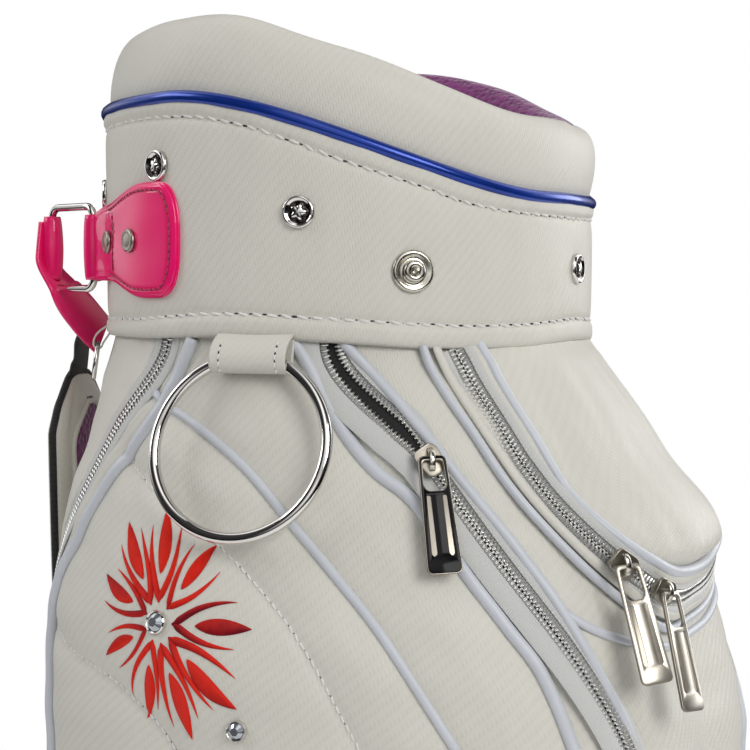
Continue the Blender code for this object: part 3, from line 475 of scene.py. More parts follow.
def plate(outlines, thickness, bevel=0.0, segments=2):
    """Closed (x, z) outlines, the later ones holes, as a plate about y = 0 with softened edges."""
    curve = bpy.data.curves.new("outline", "CURVE")
    curve.dimensions = "2D"
    curve.fill_mode = "BOTH"
    curve.extrude = thickness / 2 - bevel
    curve.bevel_depth = bevel
    curve.offset = -bevel
    curve.bevel_resolution = segments
    for outline in outlines:
        spline = curve.splines.new("POLY")
        spline.points.add(len(outline) - 1)
        for point, (x, y) in zip(spline.points, outline):
            point.co = (x, y, 0, 1)
        spline.use_cyclic_u = True
    obj = bpy.data.objects.new("outline", curve)
    bpy.context.scene.collection.objects.link(obj)
    bpy.context.view_layer.update()
    mesh = bpy.data.meshes.new_from_object(obj.evaluated_get(bpy.context.evaluated_depsgraph_get()))
    cleaned = bmesh.new()
    cleaned.from_mesh(mesh)
    bmesh.ops.remove_doubles(cleaned, verts=cleaned.verts, dist=1e-6)
    verts = np.array([(v.co.x, v.co.z, v.co.y) for v in cleaned.verts])
    faces = [[v.index for v in f.verts][::-1] for f in cleaned.faces]
    cleaned.free()
    bpy.data.objects.remove(obj)
    bpy.data.curves.remove(curve)
    bpy.data.meshes.remove(mesh)
    return verts, faces


def aligned(origin, outward, down):
    """A frame at a place with -Y outwards and -Z along down as nearly as the outward way allows."""
    inward = -Vector(outward).normalized()
    up = -Vector(down)
    up = (up - up.dot(inward) * inward).normalized()
    matrix = Matrix((inward.cross(up), inward, up)).transposed().to_4x4()
    matrix.translation = Vector(origin)
    return matrix


def facing_out(angle, radius, height, lean=0):
    """An upright frame whose -Y looks away from the bag's axis, leaned by some degrees."""
    turn = Matrix.Rotation(math.radians(-angle), 4, "Z") @ Matrix.Rotation(math.radians(-lean), 4, "X")
    return Matrix.Translation(Vector(around(angle, radius, height))) @ turn


def skin_frame(angle, height, offset):
    """A frame on the skin with -Y along its normal."""
    outward = skin_normal(np.float64(angle), np.float64(height))
    return aligned(on_skin(angle, height, offset), outward, (0, 0, -1))


# Materials


def add_node(tree, kind, inputs=(), **settings):
    """A shader node, its inputs given as values or as sockets to link."""
    made = tree.nodes.new("ShaderNode" + kind)
    for key, value in settings.items():
        setattr(made, key, value)
    for key, value in dict(inputs).items():
        socket = made.inputs[key]
        if isinstance(value, bpy.types.NodeSocket):
            tree.links.new(value, socket)
        else:
            socket.default_value = value
    return made


def calc(operation, *terms):
    """A maths node, made in the tree that its sockets belong to."""
    tree = next(term.id_data for term in terms if isinstance(term, bpy.types.NodeSocket))
    inputs = dict(enumerate((*terms, 0.0, 0.0)[:3]))
    return add_node(tree, "Math", inputs, operation=operation).outputs[0]


times, times_add, sine, cosine = [partial(calc, name) for name in ("MULTIPLY", "MULTIPLY_ADD", "SINE", "COSINE")]


def blank(name, colour, roughness, metallic=0.0, **inputs):
    """A new look with its node tree and shader, ready for its detail."""
    made = bpy.data.materials.new(name)
    made.use_nodes = True
    tree = made.node_tree
    shader = tree.nodes["Principled BSDF"]
    shader.inputs["Base Color"].default_value = (*colour, 1)
    shader.inputs["Roughness"].default_value = roughness
    shader.inputs["Metallic"].default_value = metallic
    for key, value in inputs.items():
        shader.inputs[key.replace("_", " ")].default_value = value
    return made, tree, shader


def shaded(tree, colour, level):
    """A colour, or a socket that gives one, multiplied by a grey level."""
    grey = add_node(tree, "CombineColor", {0: level, 1: level, 2: level}).outputs[0]
    return add_node(tree, "Mix", {0: 1.0, 6: colour, 7: grey}, data_type="RGBA", blend_type="MULTIPLY").outputs[2]


def tint(shader, colour, factor, spread):
    """The base colour, made lighter and darker by a factor of about 0 to 1."""
    level = times_add(factor, 2 * spread, 1 - spread)
    link(shader, "Base Color", shaded(shader.id_data, (*colour, 1), level))


def link(shader, name, socket):
    """Feeds one of a shader's inputs."""
    shader.id_data.links.new(socket, shader.inputs[name])


def noise(tree, scale, detail=3.0):
    """An uneven grey of about 0 to 1, fixed to the piece."""
    place = add_node(tree, "TexCoord").outputs["Object"]
    inputs = {"Scale": scale, "Detail": detail, "Roughness": 0.55, "Vector": place}
    return add_node(tree, "TexNoise", inputs).outputs[0]


def bump(shader, height, strength, distance):
    """Feeds a height into a shader's normal."""
    inputs = {"Height": height, "Strength": strength, "Distance": distance}
    link(shader, "Normal", add_node(shader.id_data, "Bump", inputs).outputs[0])


def surface_coordinates(tree, mapping="round"):
    """(u, v) in metres: round the bag's axis, or flat on its front."""
    x, y, z = add_node(tree, "SeparateXYZ", {0: add_node(tree, "TexCoord").outputs["Object"]}).outputs
    if mapping == "flat":
        return x, z
    return times(calc("ARCTAN2", x, times(y, -1.0)), 0.13), z


def twill(u, v, cell):
    """A warp-faced twill: upright floats two cells long, each column one cell further up than the last."""
    a, b = calc("DIVIDE", u, cell), calc("DIVIDE", v, cell)
    place = calc("FLOORED_MODULO", calc("SUBTRACT", calc("FLOOR", a), b), 4.0)
    along = calc("MAXIMUM", sine(times(place, math.pi / 2.2)), 0.0)
    across = calc("ABSOLUTE", sine(times(a, math.pi)))
    dash = times(calc("POWER", along, 0.6), calc("POWER", across, 0.7))
    ridge = times_add(cosine(times(calc("SUBTRACT", a, b), math.pi / 2)), 0.5, 0.5)
    return dash, ridge


def leather(name, mapping="round", cell=0.00125, depth=0.00030):
    """White leatherette embossed with a fine twill, with painted shading along the twill, soft soiling and uneven
    gloss.
    """
    made, tree, shader = blank(name, LEATHER_WHITE, 0.42, Specular_IOR_Level=0.42)
    dash, ridge = twill(*surface_coordinates(tree, mapping), cell)
    grain, cloud, wear = noise(tree, 1300, 2), noise(tree, 14, 4), noise(tree, 90, 5)
    # Painted shading: the twill's floats and diagonal ridges make the colour lighter and darker, standing in for light
    # catching the embossing; the cloud and wear noise are soiling.
    shade = times_add(dash, 0.16, times(cloud, 0.50))
    shade = times_add(wear, 0.20, times_add(ridge, 0.22, shade))
    tint(shader, LEATHER_WHITE, shade, 0.11)
    link(shader, "Roughness", times_add(ridge, 0.12, times_add(cloud, 0.12, 0.36)))
    bump(shader, times_add(grain, 0.30, times_add(ridge, 0.7, dash)), 0.38, depth)
    return made


def piping_look(name, colour):
    """Smooth leatherette drawn tight over a cord."""
    made, tree, shader = blank(name, colour, 0.38)
    tint(shader, colour, noise(tree, 40, 3), 0.08)
    bump(shader, noise(tree, 2200, 2), 0.25, 0.0001)
    return made


def patent(name, colour):
    """Glossy lacquered leather with slow waves in its surface."""
    made, tree, shader = blank(name, colour, 0.30, Coat_Weight=0.7, Coat_Roughness=0.03, Specular_IOR_Level=0.2)
    tint(shader, colour, noise(tree, 16, 3), 0.10)
    link(shader, "Roughness", times_add(noise(tree, 500, 3), 0.10, 0.25))
    bump(shader, noise(tree, 60, 2), 0.25, 0.0012)
    return made


def foil(name, colour):
    """Metallic coated cloth over the rim's cord."""
    made, tree, shader = blank(name, colour, 0.24, 0.45, Coat_Weight=0.3, Coat_Roughness=0.06)
    tint(shader, colour, noise(tree, 60, 3), 0.25)
    bump(shader, noise(tree, 260, 2), 0.12, 0.0003)
    return made


def metal(name, colour, roughness, scratch=0.06):
    """Plated metal with smears and fine scratches in its gloss."""
    made, tree, shader = blank(name, colour, roughness, 1.0)
    smear, fine = noise(tree, 70, 4), noise(tree, 900, 2)
    tint(shader, colour, smear, 0.05)
    rough = times_add(smear, scratch, roughness - scratch / 2)
    link(shader, "Roughness", times_add(fine, scratch / 2, rough))
    bump(shader, fine, 0.03, 0.0001)
    return made


def enamel(name, colour):
    """Black enamel with a faint unevenness in its gloss."""
    made, tree, shader = blank(name, colour, 0.12, Specular_IOR_Level=0.12)
    link(shader, "Roughness", times_add(noise(tree, 400, 4), 0.14, 0.06))
    bump(shader, noise(tree, 120, 2), 0.06, 0.0004)
    return made


def woven(name, colour, pitch, rough=0.75, spread=0.35, depth=0.0004, sheen=0.3):
    """Plain woven webbing or tape: threads over and under, ribs standing proud."""
    made, tree, shader = blank(name, colour, rough, Sheen_Weight=sheen)
    over, under = [sine(times(place, math.pi / pitch)) for place in surface_coordinates(tree)]
    check = times_add(times(over, under), 0.5, 0.5)
    shade = times_add(noise(tree, 1500, 3), 0.5, times(check, 0.5))
    tint(shader, colour, shade, spread)
    bump(shader, shade, 0.7, depth)
    return made


def spacer_mesh(name, colour):
    """Open-knit padding mesh: rows of round holes, painted darker inside as shade."""
    made, tree, shader = blank(name, colour, 0.85, Sheen_Weight=0.5)
    cells = add_node(tree, "TexVoronoi", {"Vector": add_node(tree, "TexCoord").outputs["Object"], "Scale": 330.0})
    hole = calc("SMOOTH_MIN", times(cells.outputs["Distance"], 1.5), 1.0, 0.2)
    # Painted shade: the middles of the holes are painted darker, standing in for the shade inside them.
    tint(shader, colour, times_add(noise(tree, 900, 2), 0.3, times(hole, 0.7)), 0.6)
    bump(shader, hole, 0.8, 0.0008)
    return made


def plastic(name, colour, rough=0.45):
    """Moulded plastic, board or rubber with a fine grain."""
    made, tree, shader = blank(name, colour, rough)
    tint(shader, colour, noise(tree, 30, 4), 0.2)
    link(shader, "Roughness", times_add(noise(tree, 200, 4), 0.2, rough - 0.1))
    bump(shader, noise(tree, 1800, 2), 0.3, 0.0002)
    return made


def satin(name, colour):
    """Embroidery thread: fine strands across each petal, with painted sheen: the mesh carries a painted
    light-and-shade level, and the strands are painted as light and dark stripes.
    """
    made, tree, shader = blank(name, colour, 0.42, Specular_IOR_Level=0.12)
    thread = add_node(tree, "Attribute", attribute_name="thread").outputs["Vector"]
    across, sheen_level, _ = add_node(tree, "SeparateXYZ", {0: thread}).outputs
    wander = noise(tree, 300, 3)
    fibre = times_add(wander, 0.8, sine(times(across, 2 * math.pi / 0.00042)))
    # Painted sheen: the level from the mesh, with a little noise, picks a colour between fully shaded and fully lit
    # thread.
    ramp = add_node(tree, "ValToRGB", {0: times_add(wander, 0.25, sheen_level)})
    for stop, (position, shade) in zip(ramp.color_ramp.elements, SATIN_SHEEN_COLOURS):
        stop.position, stop.color = position, (*shade, 1)
    # The strands are painted as fine light and dark stripes, a painted sheen over the colour.
    link(shader, "Base Color", shaded(tree, ramp.outputs[0], times_add(fibre, 0.20, 0.86)))
    bump(shader, fibre, 0.45, 0.00018)
    return made


LEATHER_WHITE = (0.640, 0.625, 0.563)
# The satin's painted sheen: the thread's colour when fully shaded and when fully lit, at their places on the sheen
# level.
SATIN_SHEEN_COLOURS = ((0.18, (0.19, 0.002, 0.010)), (0.72, (0.78, 0.020, 0.008)))
LEATHER = leather("WhiteLeather")
LEATHER_FLAT = leather("WhiteLeatherFront", "flat")
LEATHER_PLAIN = leather("WhiteLeatherTrim", "round", cell=0.0009, depth=0.00012)
PIPING = piping_look("BlueWhitePiping", (0.565, 0.590, 0.635))
PINK = patent("PinkPatent", (0.86, 0.005, 0.150))
BLUE = foil("BlueCord", (0.004, 0.036, 0.30))
CHROME = metal("PolishedChrome", (0.72, 0.70, 0.67), 0.06, 0.04)
DARK_METAL = metal("DarkRecess", (0.05, 0.045, 0.04), 0.25, 0.1)
NICKEL = metal("WornNickel", (0.60, 0.57, 0.50), 0.18, 0.10)
SATIN_NICKEL = metal("SatinNickel", (0.64, 0.60, 0.52), 0.30, 0.10)
DULL_NICKEL = metal("DullNickel", (0.36, 0.33, 0.28), 0.30, 0.12)
TEETH = metal("ZipTeeth", (0.80, 0.80, 0.78), 0.26, 0.08)
ENAMEL = enamel("BlackEnamel", (0.004, 0.004, 0.005))
TAPE = woven("ZipTape", (0.55, 0.555, 0.54), 0.0006, spread=0.18, depth=0.0002)
# Painted shadow: the near-black band in a zip's slot between its rows of teeth, where the gap falls dark.
SLOT_SHADOW = woven("ZipShadow", (0.008, 0.008, 0.008), 0.0006, spread=0.2, sheen=0.0)
CHAIN_BED = woven("ZipChainBed", (0.36, 0.36, 0.35), 0.0005, spread=0.3, sheen=0.0)
WEBBING = woven("BlackWebbing", (0.010, 0.009, 0.010), 0.0013, spread=0.5, depth=0.0006, sheen=0.1)
PURPLE = spacer_mesh("PurpleMesh", (0.13, 0.010, 0.105))
LINING = woven("PurpleLining", (0.115, 0.010, 0.095), 0.0011, spread=0.4)
RUBBER = plastic("BlackRubber", (0.018, 0.018, 0.020), 0.55)
BOARD = plastic("TubeBoard", (0.20, 0.20, 0.20), 0.7)
RODS = metal("RodAluminium", (0.6, 0.6, 0.6), 0.35)
THREAD = woven("PaleThread", (0.80, 0.79, 0.76), 0.0004, spread=0.2, rough=0.5)
# Painted shade: the needle holes between stitches are dark, standing in for the shade inside each hole.
NEEDLE_HOLE_SHADE = plastic("NeedleHoleShade", (0.045, 0.035, 0.038), 0.8)
DARK_PINK_THREAD = woven("PinkThread", (0.42, 0.012, 0.06), 0.0004, spread=0.3, rough=0.5)
RED = satin("RedSatinThread", (0.75, 0.035, 0.02))
STONE = blank("CutStone", (0.42, 0.45, 0.48), 0.04, 0.75, Coat_Weight=1.0)[0]


# Skin: panels, piping, quilting


def panels():
    """The four skin panels, each a padded sheet between two zip seams."""
    heights = np.linspace(SKIN_BOTTOM, SKIN_TOP, 230)
    gap = 0.35

    def half(seam):
        return np.degrees(0.006 / skin_radius(seam(heights), heights)) + gap

    front = front_seam(heights) - half(front_seam)
    inner = front_seam(heights) + half(front_seam)
    outer = side_seam(heights) - half(side_seam)
    back = side_seam(heights) + half(side_seam)
    for name, low, high, columns in (("front_panel", -front, front, 60), ("side_pocket_left", inner, outer, 120),
                                     ("side_pocket_right", -outer, -inner, 120), ("back_panel", back, 360 - back, 90)):
        share = np.linspace(0, 1, columns)
        angle = low[:, None] + (high - low)[:, None] * share
        signed = (angle + 180) % 360 - 180
        height = np.repeat(heights[:, None], columns, 1)
        points = on_skin(angle, height, relief(signed, height))
        obj = cloth_grid("padded_" + name, points, LEATHER, 0.002, slot="leatherette", replaces=name)


PIPED_SEAMS = (("side_piping", SIDE_PIPING, 0.0031), ("diagonal_piping", DIAGONAL_PIPING, 0.0019),
               ("front_piping", FRONT_PIPING, 0.0027), ("panel_piping", PANEL_PIPING, 0.0023),
               ("under_pocket_piping", UNDER_POCKET, 0.0019))
PIPING_LIFT = 0.30  # how far a cord's middle stands off the skin, as a share of its radius
# A stitch's six sections from end to end: along, outwards and half width, as shares of its length and radius.
STITCH_REACH = np.array((-0.5, -0.42, -0.2, 0.2, 0.42, 0.5))
STITCH_BOW = np.array((-0.9, 0.1, 0.6, 0.6, 0.1, -0.9))
STITCH_WIDTH = np.array((0.25, 0.8, 1.0, 1.0, 0.8, 0.25))
STITCH_STEP, LINE_STEP = 0.0004, 0.0025


def line_on_skin(line, offset=0.0):
    """A line's points on the padded skin, with the outward directions there."""
    fine = smoothed(line, 400)
    along = travelled(on_skin(fine[:, 0], fine[:, 1]))
    t = np.linspace(0, along[-1], max(3, int(along[-1] / LINE_STEP)))
    angle, height = np.interp(t, along, fine[:, 0]), np.interp(t, along, fine[:, 1])
    return on_skin(angle, height, relief(angle, height) + offset), skin_normal(angle, height)


def cords():
    """Piping sewn along the seams, both sides of the bag."""
    for name, line, radius in PIPED_SEAMS:
        for side, way in both_sides(line):
            points, outs = line_on_skin(way, offset=radius * PIPING_LIFT)
            strand(name + "_" + side, points, outs, round_profile(radius, 14, 0.8), PIPING, slot="leatherette")


def capsule_row(points, outs, pitch, length, radius, hole=0.0):
    """Stitches laid along a path, as rounded bars half sunk in, with needle holes between them."""
    fine, side, out = evenly(points, outs, STITCH_STEP)
    tangent = along_of(fine)
    step = int(round(pitch / STITCH_STEP))
    random = np.random.RandomState(7)
    bars, holes = [], []
    reach = STITCH_REACH * length
    for i in range(step // 2, len(fine) - step // 2, step):
        slant = side[i] * random.uniform(0.10, 0.30) * length
        centres = fine[i] + tangent[i] * reach[:, None] + out[i] * (STITCH_BOW * radius)[:, None]
        centres = centres + slant * (reach / length)[:, None]
        profile = (STITCH_WIDTH * radius)[:, None, None] * round_profile(1, 6)
        bars.append(sweep(centres, np.tile(side[i], (6, 1)), np.tile(out[i], (6, 1)), profile))
        if hole:
            j = min(len(fine) - 1, i + step // 2)
            ring = np.arange(8) * math.pi / 4
            size = hole * random.uniform(0.75, 1.35)
            flat = (fine[j] + tangent[j] * (np.cos(ring) * size * 1.5)[:, None]
                    + side[j] * (np.sin(ring) * size)[:, None] + out[j] * 0.00004)
            tips = (fine[j] + out[j] * 0.00022, fine[j] - out[j] * 0.0003)
            holes.append((np.vstack([flat, *tips]),
                          [[k, (k + 1) % 8, 8] for k in range(8)] + [[(k + 1) % 8, k, 9] for k in range(8)]))
    return bars, holes


def stitching(name, points, outs, look=None, pitch=0.0063, length=0.0048, radius=0.00062, hole=0.00062,
              body="root", slot="leatherette"):
    """A row of stitches as one piece, each needle hole a dark cone between two of them, its dark colour painted shade.
    """
    outs = np.broadcast_to(outs, np.shape(points))
    bars, holes = capsule_row(points, outs, pitch, length, radius, hole)
    verts, faces = merged(bars + holes)
    mark = [0] * sum(len(f) for _, f in bars) + [1] * sum(len(f) for _, f in holes)
    return build(name, verts, faces, [look or THREAD, NEEDLE_HOLE_SHADE], body=body, slot=slot, material_of=mark)


def quilting():
    """The three lines of quilting stitches on each side."""
    for name, line in (("upper", QUILT_UPPER), ("lower", QUILT_LOWER), ("foot", QUILT_FOOT)):
        for side, way in both_sides(line):
            points, outs = line_on_skin(way, offset=0.0001)
            stitching("stitch_quilt_" + name + "_" + side, points, outs, THREAD, 0.0042, 0.0034, 0.00048, 0.00027)


# Zips

ZIP_LOOKS = [TAPE, SLOT_SHADOW, TEETH, THREAD, CHAIN_BED]
# A zip tooth's five sections from the slot outwards: how far out, half along the zip, and half its height.
TOOTH_REACH = np.array((-0.0003, 0.0002, 0.0015, 0.0030, 0.0034))
TOOTH_HALF = np.array((0.34, 0.60, 0.52, 0.54, 0.34)) * ZIP_PITCH / 2
TOOTH_TALL = np.array((0.35, 0.85, 0.70, 0.75, 0.35)) * 0.00095
# The bead of sewing thread beside each tooth: its half size, and the faces of its two pyramids.
BEAD = 0.00058
BEAD_FACES = [[0, 1, 4], [1, 2, 4], [2, 3, 4], [3, 0, 4], [1, 0, 5], [2, 1, 5], [3, 2, 5], [0, 3, 5]]


def zip_run(name, points, outs, node, opened=None, tapes=(0.0078, 0.0078)):
    """A coil zip: two tapes, two rows of teeth and the slot between. Opened gives half the gap by height."""
    points, side, out = evenly(points, outs, ZIP_PITCH / 2)
    gap = opened(points[:, 2]) if opened else np.zeros(len(points))
    parts, mark = [], []

    def add(verts, faces, look):
        parts.append((verts, faces))
        mark.extend([ZIP_LOOKS.index(look)] * len(faces))

    def strip(low, high, sink, look, way):
        centre = points + side * (way * (gap + (low + high) / 2))[:, None] - out * sink
        add(*sweep(centre[::2], side[::2], out[::2], band_profile((high - low) / 2, 0.0007)), look)

    # The slot between the rows of teeth: a near-black band of painted shadow, wider where the zip is opened.
    slot = band_profile(1.0, 0.4) * np.stack([gap + 0.0010, np.full(len(gap), 0.001)], -1)[:, None]
    add(*sweep(points - out * 0.0019, side, out, slot), SLOT_SHADOW)
    ring = np.arange(6) * math.pi / 3 + math.pi / 6
    for way, reach in zip((-1, 1), tapes):
        strip(0.0008, 0.0037, 0.0015, CHAIN_BED, way)
        strip(0.0036, reach, 0.0008 if reach < 0.009 else 0.0002, TAPE, way)
        for i in range(0 if way < 0 else 1, len(points), 2):
            lead = side[i] * way
            tangent = unit(points[min(i + 1, len(points) - 1)] - points[max(i - 1, 0)])
            centres = points[i] + lead * (TOOTH_REACH + gap[i])[:, None] - out[i] * 0.00055
            rings = (centres[:, None] + tangent * (TOOTH_HALF[:, None] * np.cos(ring))[..., None]
                     + out[i] * (TOOTH_TALL[:, None] * np.sin(ring))[..., None])
            add(rings.reshape(-1, 3), capped_faces(5, 6), TEETH)
            bead = points[i] + lead * (0.0041 + gap[i]) - out[i] * 0.0003
            corners = np.array([tangent, lead, -tangent, -lead]) * BEAD + bead
            add(np.vstack([corners, bead + out[i] * 0.00045, bead - out[i] * 0.0005]), BEAD_FACES, THREAD)
    verts, faces = merged(parts)
    return build(name, verts, faces, ZIP_LOOKS, slot="zip_tape", replaces=node, material_of=mark, sharp=50)


def skin_zips():
    """The long zips at the front and sides, the front ones open a little above their sliders."""
    height = np.linspace(0.7395, 0.052, 400)

    def open_half(z):
        above = z - FRONT_SLIDER_HEIGHT
        return 0.0023 * np.clip(above / 0.013, 0, 1) ** 0.8 * (1 - 0.45 * np.clip((above - 0.013) / 0.036, 0, 1))

    for seam, name, opened, outer in ((front_seam, "front_zip", open_half, 0.0125),
                                      (side_seam, "side_zip", None, 0.0078)):
        angle = seam(height)
        for side, way in (("left", 1), ("right", -1)):
            tapes = (0.0084, outer) if way > 0 else (outer, 0.0084)
            zip_run(name + "_track_" + side, on_skin(way * angle, height, 0.0003), skin_normal(way * angle, height),
                    name + "_" + side, opened, tapes)


# Top pocket


def pocket_outline(half_width, top, corner, bottom, t):
    """Half of a pocket's U outline as x and z, from its top corner (t = 0) round to the middle (t = 1)."""
    t = np.asarray(t, float)
    a = np.clip((t - 0.4) / 0.6, 0, 1) * math.pi / 2
    curved = t >= 0.4
    x = np.where(curved, half_width * np.maximum(np.cos(a), 0) ** 0.8, half_width)
    z = np.where(curved, corner - (corner - bottom) * np.sin(a) ** 0.8, top + (corner - top) * t / 0.4)
    return x, z


def skin_depth(x, z):
    """How far the skin lies in front of the bag's axis, at x and z on its front."""
    x, z = np.broadcast_arrays(np.asarray(x, float), np.asarray(z, float))
    depth = np.full(x.shape, 0.15)
    for _ in range(12):
        radius = skin_radius(np.degrees(np.arctan2(-x, depth)), z)
        depth = np.sqrt(np.maximum(radius * radius - x * x, 1e-8))
    return depth


def lid_depth(x, z):
    """How far the top pocket's lid lies in front of the bag's axis."""
    x, z = np.broadcast_arrays(np.asarray(x, float), np.asarray(z, float))
    edge, crown = through(LID_EDGE, z * 1000), through(LID_CROWN, z * 1000)
    depth = (edge + crown * (1 - np.minimum(1, (x / LID_HALF_WIDTH) ** 2))) / 1000
    clear = 0.0010 + 0.0042 * np.clip((0.738 - z) / 0.012, 0, 1)
    return np.maximum(depth, skin_depth(x, z) + clear)


def gusset_at(t, share, lift=0.0, drop=0.0):
    """A place between the lid's edge (share 0) and the gusset's foot (share 1), with its directions."""
    t = np.asarray(t, float)
    way = np.where(t > 1, -1.0, 1.0)
    half = np.where(t > 1, 2 - t, t)
    x, z = pocket_outline(LID_HALF_WIDTH, LID_TOP - drop, LID_CORNER, LID_BOTTOM, half)
    fx, fz = pocket_outline(GUSSET_HALF_WIDTH, LID_TOP - 0.003 - drop, GUSSET_CORNER, GUSSET_BOTTOM, half)
    a = np.stack([x, -lid_depth(x, z), z], -1)
    b = np.stack([fx, -skin_depth(fx, fz) - POCKET_STAND_OFF, fz], -1)
    out = unit(a * (1, 1, 0))
    across = unit(b - a)
    normal = unit(out - (out * across).sum(-1, keepdims=True) * across)
    share, lift = np.asarray(share, float), np.asarray(lift, float)
    place_ = a + (b - a) * share[..., None] + normal * lift[..., None]
    flip = np.stack([way, np.ones_like(way), np.ones_like(way)], -1)
    return place_ * flip, across * flip, normal * flip


def gusset_line(count, share, lift, drop):
    """A line along the gusset at one share of its width, with the outward directions there."""
    t = np.linspace(0, 2, count)
    points, _, normal = gusset_at(t, np.full(count, share), np.full(count, lift), drop)
    return points, normal


# What is sewn along the gusset: its share of the gusset's width, lift, drop at the top, profile and look.
GUSSET_TRIM = (("lid_piping", 0.0, 0.0005, -0.004, round_profile(0.0025, 12), PIPING),
               ("gusset_piping", 0.985, 0.0008, -0.004, round_profile(0.0019, 12), PIPING),
               ("zip_welt_inner", 0.135, 0.0006, -0.003, band_profile(0.0019, 0.0013, 0.45), LEATHER_PLAIN),
               ("zip_welt_outer", 0.765, 0.0006, -0.003, band_profile(0.0019, 0.0013, 0.45), LEATHER_PLAIN))
ZIP_SHARE, ZIP_LIFT = 0.45, 0.0016


def top_pocket():
    """The wedge pocket: a crowned lid, and a gusset that carries its zip round from one corner to the other."""
    t = np.linspace(0, 2, 150)
    half = np.where(t > 1, 2 - t, t)
    way = np.where(t > 1, -1.0, 1.0)
    top = LID_TOP + 0.006
    ox, oz = pocket_outline(LID_HALF_WIDTH, top, LID_CORNER, LID_BOTTOM, half)
    share = np.linspace(0.02, 1, 60)[:, None] ** 0.9
    x, z = ox * share * way, top + (oz - LID_TOP - 0.006) * share
    rim = np.clip((1 - share) / 0.10, 0, 1)
    puff = 0.0018 * np.sin(math.pi * np.clip(share, 0, 1)) ** 0.7 - 0.0022 * (1 - rim) ** 2
    puff = puff + 0.0005 * ripple(x, z, 0.05, 11) * rim + 0.0004 * ripple(x, z * 0.4, 0.018, 12) * rim
    depth = lid_depth(x, z) + puff * np.clip((0.737 - z) / 0.02, 0, 1)
    lid = cloth_grid("top_pocket_lid", np.stack([x, -depth, z], -1), LEATHER_FLAT, 0.0018, slot="leatherette",
                     replaces="front_top_pocket")
    # The gusset sags a little between its two seams.
    share = np.linspace(0.0, 1.02, 26)[:, None]
    tt = np.repeat(t[None], 26, 0)
    sag = -0.0016 * np.sin(math.pi * np.clip((share - 0.62) / 0.38, 0, 1))
    sag = sag + 0.0003 * ripple(tt * 0.2, share * 0.03, 0.02, 14)
    points, _, _ = gusset_at(tt, np.broadcast_to(share, tt.shape), np.broadcast_to(sag - 0.0008, tt.shape))
    cloth_grid("top_pocket_gusset", points, LEATHER, 0.0014, slot="leatherette")
    for name, share, lift, drop, profile, look in GUSSET_TRIM:
        points, normal = gusset_line(240, share, lift, drop)
        strand(name, points, normal, profile, look, slot="leatherette")
    zip_run("top_zip_track", *gusset_line(240, ZIP_SHARE, ZIP_LIFT, -0.002), "top_pocket_zip", tapes=(0.0072, 0.0072))


# Ball pocket


def ball_outline(grow, a):
    """The ball pocket's outline: a box with round corners, grown by a distance."""
    half_height = (BALL_TOP - BALL_BOTTOM) / 2 + grow
    c, s = np.cos(a), np.sin(a)
    scale = (np.abs(c) ** 5 + np.abs(s) ** 5) ** (-1 / 5)
    return (BALL_HALF_WIDTH + grow) * c * scale, (BALL_TOP + BALL_BOTTOM) / 2 + half_height * s * scale


def ball_zip_path():
    """The zip round the ball pocket's left side and top as (place, outwards) stations, ending at the middle."""
    stations = []
    half_width = BALL_HALF_WIDTH + 0.0016
    start, corner, turn_centre = BALL_TOP - 0.145, BALL_TOP - 0.035, BALL_TOP - 0.055
    for t in np.arange(BALL_ZIP_STEPS + 1) / BALL_ZIP_STEPS:
        if t < 0.5:
            x, z = -half_width, start + (corner - start) * t / 0.5
        else:
            a = (t - 0.5) / 0.5 * math.pi / 2
            x = -half_width * math.cos(a) ** 0.5
            z = corner + (BALL_TOP + 0.0016 - corner) * math.sin(a) ** 0.5
        side = Vector((x, 0, (z - turn_centre) * 0.8 if t > 0.5 else 0)).normalized()
        stations.append((Vector((x, -float(skin_depth(x, z)) - 0.6 * BALL_DEPTH, z)) + side * 0.0004, side))
    return stations


def ball_pocket():
    """The ball pocket at the front: a crowned cover with a rolled foot, two cords and a zip over its top."""
    count = 140
    a = 2 * math.pi * (np.arange(count) + 0.5) / count
    ox, oz = ball_outline(0, a)
    middle = (BALL_TOP + BALL_BOTTOM) / 2
    share = np.concatenate([np.linspace(0.001, 0.90, 36), np.linspace(0.915, 1.0, 9), np.ones(6)])[:, None]
    lift = np.concatenate([np.linspace(1.0, 0.985, 36), 1 - (np.linspace(0.1, 1, 9) ** 2.2) * 0.34,
                           np.linspace(0.56, 0.03, 6)])[:, None]
    x, z = ox * share, middle + (oz - middle) * share
    puff = 0.0022 * np.clip(1 - share**3, 0, 1) + 0.0006 * ripple(x, z, 0.05, 21) * np.clip((1 - share) * 8, 0, 1)
    depth = skin_depth(x, z) + 0.0008 + BALL_DEPTH * lift + puff
    obj = cloth_grid("ball_pocket_shell", np.stack([x, -depth, z], -1), LEATHER_FLAT, 0.002, wrap=True,
                     slot="leatherette", replaces="ball_pocket")
    a = 2 * math.pi * np.arange(260) / 260
    for name, grow, lift, radius in (("face", -0.0006, 0.72, 0.0019), ("foot", 0.0012, 0.07, 0.0016)):
        x, z = ball_outline(grow, a)
        points = np.stack([x, -(skin_depth(x, z) + 0.0008 + BALL_DEPTH * lift), z], -1)
        strand("ball_" + name + "_piping", points, (0, -1.0, 0), round_profile(radius, 10), PIPING, True,
               slot="leatherette")
    stations = ball_zip_path()
    places, sides = [np.array([tuple(station[k]) for station in stations]) for k in (0, 1)]
    places, sides = [np.vstack([half, half[-2::-1] * (-1, 1, 1)]) for half in (places, sides)]
    along = travelled(places)
    t = np.linspace(0, along[-1], 300)
    outs = unit(straight(t, along, sides))
    zip_run("ball_zip_track", curved(t, along, places) + outs * 0.0014, outs, "ball_pocket_zip",
            tapes=(0.0052, 0.0052))


# Collar


